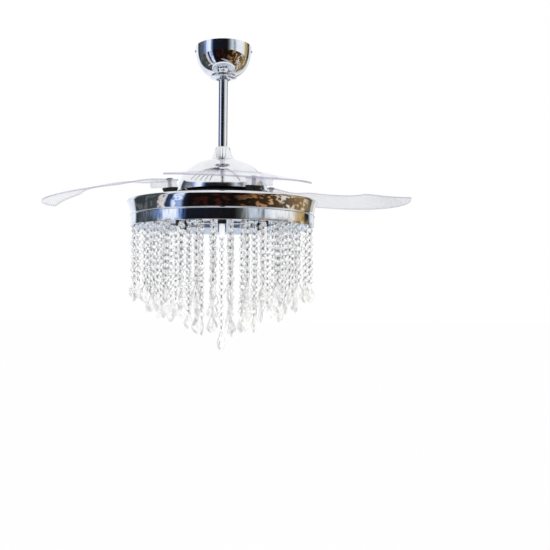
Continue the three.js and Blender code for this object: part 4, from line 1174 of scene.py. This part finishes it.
@dataclass
class Crystals:
    """Strands of cut beads, each with a flat almond drop, hooked on rails under the plate."""

    radii: tuple[float, ...] = (231.9, 195.9, 159.9, 87.9, 51.9)
    sectors: int = 6
    pitch: float = 40.5
    rail_top: float = -453.1
    rail: float = 3.0
    edge_length: float = 219.0
    inner_length: float = 313.0
    centre_length: float = 348.0
    stagger: float = 9.0
    yaw_step: float = 67.0
    bead_radius: float = 8.0
    bead_depth: float = 8.8
    bead_pitch: float = 15.6
    drop_height: float = 46.0
    centre_drop_height: float = 60.0
    edge_drop: float = 13.5
    inner_drop: float = 18.0
    centre_drop: float = 16.0
    masters: dict[str, bpy.types.Mesh] = field(default_factory=dict)

    def cut_faces(self, piece: bpy.types.Object, share: float, depth: float, poked: bool) -> None:
        """Cuts a crown on both flat sides of a disc.

        Args:
            piece: A thin prism with its flat sides along Y.
            share: The table's width as a share of the disc's.
            depth: How far the table stands out from the girdle, in mm.
            poked: Whether the table comes to a low point.
        """
        for side in (1, -1):
            with editing_faces(piece, lambda face, side=side: face.normal.y * side > 0.95
                               and face.area > 20 * MM * MM):
                bpy.ops.mesh.extrude_region_move(
                    TRANSFORM_OT_translate={"value": (0, side * depth * MM, 0)})
                bpy.ops.transform.resize(value=(share, 1, share))
                if poked:
                    bpy.ops.mesh.poke(offset=depth * 0.25 * MM)

    def bead(self) -> bpy.types.Object:
        """Models one eight-sided bead."""
        bead = settle(added(
            bpy.ops.mesh.primitive_cylinder_add,
            vertices=8, radius=self.bead_radius * MM, depth=1.6 * MM,
            rotation=(math.pi / 2, math.pi / 8, 0)))
        self.cut_faces(bead, 0.52, self.bead_depth / 2 - 0.8, False)
        return bead

    def drop(self) -> bpy.types.Object:
        """Models one flat almond drop, one metre wide and high, to be scaled to its place."""
        outline = [(0.0, 0.0), (0.3, -0.16), (0.62, -0.34), (0.9, -0.52), (1.0, -0.66), (0.82, -0.8),
                   (0.45, -0.92), (0.0, -1.0)]
        ring = outline + [(-x, z) for x, z in outline[-2:0:-1]]
        drop = settle(added(
            bpy.ops.mesh.primitive_cylinder_add,
            vertices=len(ring), radius=1.0, depth=0.22, rotation=(math.pi / 2, 0, 0)))
        fronts = [v for v in drop.data.vertices if v.co.y < 0]
        backs = [v for v in drop.data.vertices if v.co.y >= 0]
        for row in (fronts, backs):
            row.sort(key=lambda v: math.atan2(v.co.x, v.co.z) % (2 * math.pi))
            for vertex, (x, z) in zip(row, ring):
                vertex.co.x, vertex.co.z = x, z
        for side in (1, -1):
            with editing_faces(drop, lambda face, side=side: face.normal.y * side > 0.95
                               and len(face.vertices) > 4):
                bpy.ops.mesh.extrude_region_move(TRANSFORM_OT_translate={"value": (0, side * 0.6, 0)})
                bpy.ops.transform.resize(value=(0.5, 1, 0.5))
                bpy.ops.mesh.poke(offset=0.2)
        return drop

    def link(self) -> bpy.types.Object:
        """Models the wire loop between two beads."""
        loop = settle(added(
            bpy.ops.mesh.primitive_torus_add,
            major_segments=6, minor_segments=3, major_radius=1.6 * MM, minor_radius=0.9 * MM,
            rotation=(0, math.pi / 2, 0)))
        with editing(loop):
            bpy.ops.mesh.select_all(action="SELECT")
            bpy.ops.transform.resize(value=(1, 0.8, 1.5))
        return loop

    def strand(self, spot: Vector, yaw: float, bottom: float, drop_height: float,
               drop_radius: float, seed: int) -> list[tuple[str, Matrix]]:
        """Lists the pieces of one strand.

        Args:
            spot: Where the strand hangs, in mm.
            yaw: Which way it faces, in radians.
            bottom: Height of the drop's tip in mm.
            drop_height: Height of the drop in mm.
            drop_radius: Half the drop's width in mm.
            seed: Number of the strand, for its uneven turns.

        Returns:
            Pairs of a master's name and its place.
        """
        parts: list[tuple[str, Matrix]] = []
        neck = bottom + drop_height
        first = self.rail_top - self.rail - 3.0
        count = int((first - neck - 4.0) / self.bead_pitch)
        step = (first - neck - 4.0) / count
        for k in range(count):
            z = first - step * (k + 0.5) - 1.0
            turn = yaw + scatter(seed * 31 + k, 1.3)
            here = Matrix.Translation(Vector((spot.x, spot.y, z)) * MM)
            parts.append(("bead", here @ Matrix.Rotation(turn, 4, "Z")))
            above = Matrix.Translation(Vector((spot.x, spot.y, z + step / 2)) * MM)
            parts.append(("link", above @ Matrix.Rotation(turn + 1.2, 4, "Z")))
        last = Matrix.Translation(Vector((spot.x, spot.y, neck + 1.5)) * MM)
        parts.append(("link", last @ Matrix.Rotation(yaw, 4, "Z")))
        size = Matrix.Diagonal((drop_radius * MM, 7.0 * MM, drop_height * MM, 1))
        hang = Matrix.Translation(Vector((spot.x, spot.y, neck)) * MM)
        parts.append(("drop", hang @ Matrix.Rotation(yaw + scatter(seed, 0.8), 4, "Z") @ size))
        return parts

    def rails(self, sector: int, middle: float) -> list[bpy.types.Object]:
        """Models a sector's hook rails: a radial wire and an arc for each circle."""
        z = self.rail_top - self.rail / 2
        start = 0.0 if sector == 0 else self.radii[-1]
        length = self.radii[0] - start
        bar = settle(added(
            bpy.ops.mesh.primitive_cylinder_add,
            vertices=8, radius=1.3 * MM, depth=length * MM,
            location=((start + length / 2) * MM, 0, z * MM), rotation=(0, math.pi / 2, 0)))
        made = [moved(bar, Matrix.Rotation(middle, 4, "Z"))]
        for radius in self.radii:
            reach = self.reach(radius)
            if reach <= 0:
                continue
            wire = settle(added(
                bpy.ops.mesh.primitive_circle_add,
                vertices=8, radius=1.2 * MM, fill_type="NGON", location=(radius * MM, 0, z * MM),
                rotation=(math.pi / 2, 0, 0)))
            with editing(wire):
                bpy.ops.mesh.select_all(action="SELECT")
                bpy.ops.mesh.spin(steps=16, angle=-2 * reach, center=(0, 0, 0), axis=(0, 0, 1))
                bpy.ops.mesh.select_all(action="SELECT")
                bpy.ops.mesh.normals_make_consistent(inside=False)
            made.append(moved(wire, Matrix.Rotation(middle - reach, 4, "Z")))
        return made

    def per_sector(self, radius: float) -> int:
        """How many strands one sector has on a circle."""
        return max(1, round(2 * math.pi * radius / self.sectors / self.pitch))

    def reach(self, radius: float) -> float:
        """Half the angle between a sector's outermost strands on a circle."""
        return (0.5 - 0.5 / self.per_sector(radius)) * 2 * math.pi / self.sectors

    def merged(self, name: str, parts: Iterable[tuple[str, Matrix]], extra: Sequence[bpy.types.Object],
               ) -> bpy.types.Object:
        """Copies the masters to their places in one mesh.

        Args:
            name: Name of the piece.
            parts: Pairs of a master's name and its place.
            extra: More wire pieces to join.

        Returns:
            The piece, with its crystal and wire finishes.
        """
        gathered = bmesh.new()
        for kind, matrix in parts:
            before = len(gathered.verts)
            faces_before = len(gathered.faces)
            gathered.from_mesh(self.masters[kind])
            gathered.verts.ensure_lookup_table()
            gathered.faces.ensure_lookup_table()
            bmesh.ops.transform(gathered, matrix=matrix, verts=gathered.verts[before:])
            if kind == "link":
                for face in gathered.faces[faces_before:]:
                    face.material_index = 1
        mesh = bpy.data.meshes.new(name)
        gathered.to_mesh(mesh)
        gathered.free()
        piece = bpy.data.objects.new(name, mesh)
        bpy.context.scene.collection.objects.link(piece)
        mesh.materials.append(Finish.CRYSTAL.material)
        mesh.materials.append(Finish.DARK_WIRE.material)
        for wire in extra:
            paint(wire, Finish.DARK_WIRE)
            smoothed(wire, 60)
        return joined([piece, *extra], name)

    def sector(self, index: int) -> bpy.types.Object:
        """Models the strands between two neighbouring lamps."""
        middle = math.radians(270 + 360 / self.sectors * (index + 0.5))
        parts: list[tuple[str, Matrix]] = []
        for row, radius in enumerate(self.radii):
            inwards = 1 - (radius / self.radii[0]) ** 2
            length = lerp(self.edge_length, self.inner_length, inwards)
            count = self.per_sector(radius)
            for k in range(count):
                number = index * count + k
                turn = middle + ((k + 0.5) / count - 0.5) * 2 * math.pi / self.sectors
                bottom = self.rail_top - length + (self.stagger if number % 2 else 0)
                spot = Vector((radius * math.cos(turn), radius * math.sin(turn), 0))
                yaw = turn + math.radians(self.yaw_step * number)
                parts += self.strand(spot, yaw, bottom, self.drop_height,
                                     lerp(self.edge_drop, self.inner_drop, inwards), row * 97 + number)
        if index == 0:
            parts += self.strand(Vector((0, 0, 0)), math.radians(self.yaw_step),
                                 self.rail_top - self.centre_length, self.centre_drop_height,
                                 self.centre_drop, 990)
        return self.merged(f"crystal_strands_{index + 1}", parts, self.rails(index, middle))

    def build(self) -> None:
        """Models the masters, then each sector's strands."""
        made = {"bead": self.bead(), "drop": self.drop(), "link": self.link()}
        self.masters = {name: piece.data for name, piece in made.items()}
        for i in range(self.sectors):
            place(self.sector(i), Body.COLUMN.value, Finish.CRYSTAL, f"crystal_sector_{i + 1}")
        for piece in made.values():
            bpy.data.objects.remove(piece)


# ------------------------------------------------------------------ studio


class Seen(Enum):
    """What kinds of ray a studio card answers to."""

    REFLECTED = "glossy"
    BENT = "transmission"


def hide_from_light(card: bpy.types.Object, seen: Seen) -> None:
    """Leaves a studio card to reflections alone, or to bent rays alone."""
    card.visible_camera = False
    card.visible_diffuse = False
    card.visible_shadow = False
    card.visible_volume_scatter = False
    card.visible_glossy = seen is Seen.REFLECTED
    card.visible_transmission = seen is Seen.BENT


def glow(card: bpy.types.Object, colour: str, seen: Seen) -> None:
    """Gives a studio card one even colour and stages it."""
    material, tree, surface = blank_material(card.name)
    light = add_node(tree, "ShaderNodeEmission", {"Color": linear(colour), "Strength": 1.0})
    tree.links.new(light.outputs["Emission"], surface)
    card.data.materials.append(material)
    hide_from_light(card, seen)


@dataclass(frozen=True)
class Card:
    """A curved studio card that stands round the fan, out of the picture."""

    name: str
    start: float
    end: float
    low: float
    high: float
    radius: float
    colour: str
    seen: Seen = Seen.BENT

    def build(self) -> None:
        """Models the card, anticlockwise from its start."""
        card = added(bpy.ops.mesh.primitive_plane_add, size=MM)
        card.name = self.name
        turn = math.radians(self.start)
        with editing(card):
            bpy.ops.mesh.select_all(action="SELECT")
            bpy.ops.mesh.merge(type="CENTER")
            bpy.ops.transform.translate(
                value=(self.radius * math.cos(turn), self.radius * math.sin(turn), self.low))
            bpy.ops.mesh.extrude_region_move(
                TRANSFORM_OT_translate={"value": (0, 0, self.high - self.low)})
            bpy.ops.mesh.select_all(action="SELECT")
            bpy.ops.mesh.spin(steps=24, angle=math.radians(self.start - self.end), center=(0, 0, 0),
                              axis=(0, 0, 1))
        glow(card, self.colour, self.seen)


@dataclass(frozen=True)
class Lamp:
    """A soft round lamp that points at the fan, its width in metres and its power in watts."""

    name: str
    spot: tuple[float, float, float]
    size: float
    watts: float
    aim_z: float = -0.45

    def build(self) -> None:
        """Adds the lamp."""
        data = bpy.data.lights.new(self.name, "AREA")
        data.shape = "DISK"
        data.size = self.size
        data.energy = self.watts
        lamp = bpy.data.objects.new(self.name, data)
        aim = Vector((0, 0, self.aim_z)) - Vector(self.spot)
        turn = aim.to_track_quat("-Z", "Y").to_matrix().to_4x4()
        lamp.matrix_world = Matrix.Translation(self.spot) @ turn
        lamp.visible_glossy = False
        lamp.visible_transmission = False
        bpy.context.scene.collection.objects.link(lamp)


@dataclass(frozen=True)
class Bar:
    """A flat bar that runs out over the fan, which the dome and the cone mirror as a line."""

    name: str
    azimuth: float
    inner: float
    outer: float
    width: float
    height: float
    colour: str

    def build(self) -> None:
        """Models the bar for reflections."""
        bar = added(
            bpy.ops.mesh.primitive_plane_add,
            size=1, location=((self.inner + self.outer) / 2, 0, self.height))
        bar.name = self.name
        bar.scale = (self.outer - self.inner, self.width, 1)
        moved(settle(bar), Matrix.Rotation(math.radians(self.azimuth), 4, "Z"))
        glow(bar, self.colour, Seen.REFLECTED)


@dataclass(frozen=True)
class Surround:
    """Surfaces round the fan that only its polished metal mirrors, coloured by compass direction.

    The stops give azimuths from 180 to 540 degrees, anticlockwise from above, 270 being the front.
    Their places and colours follow the photographed ring's bands, column by column.
    """

    name: str
    ground: tuple[tuple[float, str], ...]
    patches: tuple[tuple[float, str], ...]
    patch_mm: float
    flat: float
    threshold: float
    soft_edge: float = 0.04
    strength: float = 1.12

    def material(self) -> bpy.types.Material:
        """Builds the patched, glowing material."""
        material, tree, surface = blank_material(self.name)
        spot = add_node(tree, "ShaderNodeTexCoord")
        turn = add_node(tree, "ShaderNodeTexGradient", {"gradient_type": "RADIAL"},
                        {"Vector": spot.outputs["Object"]})
        looks = [blended(tree, turn.outputs["Fac"], *[((a - 180) / 360, c) for a, c in stops])
                 for stops in (self.ground, self.patches)]
        share = ranged(tree, noise(tree, self.patch_mm, 3.0, (1, 1, self.flat)), 0.0, 1.0,
                       self.threshold, self.threshold + self.soft_edge)
        mixed = add_node(tree, "ShaderNodeMix", {"data_type": "RGBA"},
                         {0: share, 6: looks[0], 7: looks[1]})
        light = add_node(tree, "ShaderNodeEmission", {"Strength": self.strength},
                         {"Color": mixed.outputs[2]})
        tree.links.new(light.outputs["Emission"], surface)
        return material

    def stand(self, card: bpy.types.Object) -> None:
        """Gives a card this surround's look and stages it for reflections."""
        card.name = self.name + "_card"
        card.data.materials.append(self.material())
        hide_from_light(card, Seen.REFLECTED)

    def wall(self, low: float, high: float, radius: float) -> None:
        """Models a round wall."""
        self.stand(settle(added(
            bpy.ops.mesh.primitive_cylinder_add, vertices=96, radius=radius, depth=high - low,
            location=(0, 0, (low + high) / 2), end_fill_type="NOTHING")))

    def disc(self, height: float, radius: float) -> None:
        """Models a round floor."""
        self.stand(settle(added(
            bpy.ops.mesh.primitive_circle_add, vertices=96, radius=radius, fill_type="NGON",
            location=(0, 0, height))))


UPPER_ROOM = Surround(
    "upper_room",
    ((180, "6b7a94"), (187, "5a70a0"), (192, "86a6de"), (198, "e8f1ff"), (214, "ffffff"),
     (219, "93aede"), (225, "3f5684"), (229, "181c25"), (284, "17171a"), (289, "3a3e3e"),
     (294, "777d7b"), (305, "d2dae2"), (311, "c2ccd6"), (313, "4a525c"), (315, "b4bcc6"),
     (319, "464e58"), (321, "dbe2ea"), (332, "f8f9fb"), (352, "fafafa"), (364, "efebe2"),
     (367, "cbb28c"), (385, "b89a66"), (388, "1f2328"), (399, "23272e"), (402, "a3a9b0"),
     (408, "e6e9ed"), (428, "f0f2f5"), (434, "5b6169"), (440, "f6f7fa"), (498, "f2f5fa"),
     (503, "343a41"), (528, "49515a")),
    ((180, "4f5b70"), (187, "8ba3d2"), (192, "3f5688"), (198, "b4caf2"), (214, "eef4ff"),
     (219, "5f7cb4"), (225, "1f2a44"), (229, "161c28"), (284, "15120f"), (294, "4f5654"),
     (305, "b4bec9"), (330, "e2e6ec"), (364, "d8d2c8"), (376, "8f7a45"), (386, "8a6f2c"),
     (390, "101215"), (408, "cfd4da"), (498, "e6ebf4"), (503, "22262b"), (528, "6b7583")),
    170.0, 0.3, 0.52)
LOWER_ROOM = Surround(
    "lower_room",
    ((180, "3f4345"), (187, "494c4d"), (189, "d6cec9"), (199, "dcd6d4"), (201, "26334c"),
     (207, "32466f"), (210, "dfe9fb"), (221, "e4edff"), (224, "1c2436"), (231, "100e0f"),
     (284, "120d0b"), (300, "1f1611"), (330, "41301f"), (352, "64503b"), (372, "836a4b"),
     (388, "937b5a"), (400, "665a4c"), (408, "c9c6c0"), (428, "eceef2"), (434, "5b6169"),
     (440, "eceff4"), (497, "eceff4"), (503, "363a3b"), (528, "3c4042")),
    ((180, "61656a"), (187, "2b2e30"), (189, "8f8a88"), (199, "7a7573"), (201, "1c2538"),
     (207, "22304f"), (210, "7f9acb"), (221, "93abd8"), (224, "141a28"), (231, "1a1210"),
     (262, "3c1813"), (284, "261a14"), (300, "7a5738"), (320, "b4875a"), (338, "c8a880"),
     (352, "e2e2de"), (368, "cdb084"), (386, "d8c4a0"), (402, "3c2c1c"), (420, "e8e6e0"),
     (428, "e8e6e0"), (434, "5b6169"), (440, "dde3ee"), (497, "dde3ee"), (503, "5a5e60"),
     (528, "5c6062")),
    420.0, 1.8, 0.515)


@dataclass
class Studio:
    """Camera, white surround, pale floor, soft lights and the surroundings that the metal mirrors."""

    camera_place: tuple[float, float, float] = (0.0, -1.935, -0.640)
    lens: float = 47.98
    shift: tuple[float, float] = (0.0973, 0.0273)
    roll: float = 0.5
    floor_z: float = -2.0
    floor_share: float = 0.98
    room_radius: float = 3.0
    room_split: float = -0.2
    room_top: float = 1.0
    pale_radius: float = 1.45
    cards: tuple[Card, ...] = (
        Card("card_left", 236, 252, -1.8, 0.4, 2.6, "0c0d0f"),
        Card("card_right", 290, 302, -1.8, 0.4, 2.6, "0f0e0d"),
        Card("card_side", 352, 366, -1.6, 0.2, 2.6, "5a4226"),
        Card("card_far", 168, 184, -1.6, 0.2, 2.6, "2b3038"),
        Card("hoop_high", 0, 360, 0.55, 0.85, 2.6, "08090a"),
        Card("hoop_low", 0, 360, -1.85, -1.65, 2.6, "1a1612"),
        Card("boom_post", 267.4, 272.6, 1.0, 1.9, 2.95, "25282c", Seen.REFLECTED),
    )
    bars: tuple[Bar, ...] = (
        Bar("boom", 270, 0.2, 2.95, 0.26, 1.9, "25282c"),
        Bar("louvre_1", 236, 0.2, 4.0, 0.13, 2.0, "5a6066"),
        Bar("louvre_2", 222, 0.2, 4.0, 0.13, 2.0, "5a6066"),
        Bar("louvre_3", 207, 0.2, 4.0, 0.14, 2.0, "5a6066"),
        Bar("louvre_4", 190, 0.2, 4.0, 0.15, 2.0, "5a6066"),
        Bar("louvre_5", 172, 0.2, 4.0, 0.16, 2.0, "5a6066"),
        Bar("louvre_6", 318, 0.2, 4.0, 0.2, 2.0, "8d9398"),
    )
    lamps: tuple[Lamp, ...] = (
        Lamp("key_lamp", (-2.2, -2.4, 1.6), 1.6, 60),
        Lamp("fill_lamp", (2.6, -1.6, 0.6), 1.8, 30),
    )

    def camera(self) -> None:
        """Sets the camera at the photograph's place."""
        data = bpy.data.cameras.new("camera")
        data.lens = self.lens
        data.sensor_width = 36
        data.shift_x, data.shift_y = self.shift
        camera = bpy.data.objects.new("camera", data)
        level = Matrix.Rotation(math.radians(90), 4, "X")
        camera.matrix_world = (Matrix.Translation(self.camera_place) @ level
                               @ Matrix.Rotation(math.radians(self.roll), 4, "Z"))
        bpy.context.scene.collection.objects.link(camera)
        bpy.context.scene.camera = camera

    def seen_directly(self, tree: bpy.types.NodeTree) -> bpy.types.NodeSocket:
        """1 for rays of the camera, reflections and glass, else 0."""
        path = add_node(tree, "ShaderNodeLightPath")
        first = add_node(tree, "ShaderNodeMath", {"operation": "MAXIMUM"},
                         {0: path.outputs["Is Camera Ray"], 1: path.outputs["Is Glossy Ray"]})
        both = add_node(tree, "ShaderNodeMath", {"operation": "MAXIMUM"},
                        {0: first.outputs[0], 1: path.outputs["Is Transmission Ray"]})
        return both.outputs[0]

    def world(self) -> None:
        """White where it is seen, softer where it lights."""
        world = bpy.data.worlds.new("studio")
        bpy.context.scene.world = world
        world.use_nodes = True
        tree = world.node_tree
        tree.nodes.clear()
        soft = add_node(tree, "ShaderNodeBackground", {"Color": linear("f2f4f7"), "Strength": 0.7})
        white = add_node(tree, "ShaderNodeBackground", {"Color": linear("ffffff"), "Strength": 1.0})
        mix = add_node(tree, "ShaderNodeMixShader", {}, {
            0: self.seen_directly(tree), 1: soft.outputs[0], 2: white.outputs[0]})
        output = add_node(tree, "ShaderNodeOutputWorld")
        tree.links.new(mix.outputs[0], output.inputs["Surface"])

    def floor(self) -> None:
        """A pale floor that stays near white and still takes the fan's shadow."""
        floor = settle(added(bpy.ops.mesh.primitive_plane_add, size=60, location=(0, 0, self.floor_z)))
        floor.name = "studio_floor"
        material, tree, surface = blank_material("studio_floor")
        matt = add_node(tree, "ShaderNodeBsdfDiffuse", {"Color": linear("eeeeee"), "Roughness": 0.5})
        white = add_node(tree, "ShaderNodeEmission", {"Color": linear("ffffff"), "Strength": 1.0})
        share = add_node(tree, "ShaderNodeMath", {"operation": "MULTIPLY", 1: self.floor_share},
                         {0: self.seen_directly(tree)})
        mix = add_node(tree, "ShaderNodeMixShader", {}, {
            0: share.outputs[0], 1: matt.outputs[0], 2: white.outputs[0]})
        tree.links.new(mix.outputs[0], surface)
        floor.data.materials.append(material)

    def pale_disc(self) -> None:
        """A white disc under the fan, which the canopy's pale underside mirrors."""
        disc = settle(added(
            bpy.ops.mesh.primitive_circle_add,
            vertices=64, radius=self.pale_radius, fill_type="NGON",
            location=(0, 0, self.floor_z + 0.04)))
        disc.name = "pale_disc"
        glow(disc, "f6f8fb", Seen.REFLECTED)

    def build(self) -> None:
        """Builds the whole studio."""
        scene = bpy.context.scene
        scene.view_settings.view_transform = "Standard"
        self.camera()
        self.world()
        self.floor()
        UPPER_ROOM.wall(self.room_split, self.room_top, self.room_radius)
        LOWER_ROOM.wall(self.floor_z, self.room_split, self.room_radius)
        LOWER_ROOM.disc(self.floor_z + 0.02, self.room_radius)
        self.pale_disc()
        for item in self.cards + self.bars + self.lamps:
            item.build()


# ------------------------------------------------------------------ run


def main() -> None:
    """Builds the studio and every sub-assembly in order."""
    Studio().build()
    for assembly in (CeilingFitting(), HangingColumn(), Motor(), BladeSet(), LampRing(), Crystals()):
        log.info("-- %s", type(assembly).__name__)
        assembly.build()


if __name__ == "__main__":
    main()
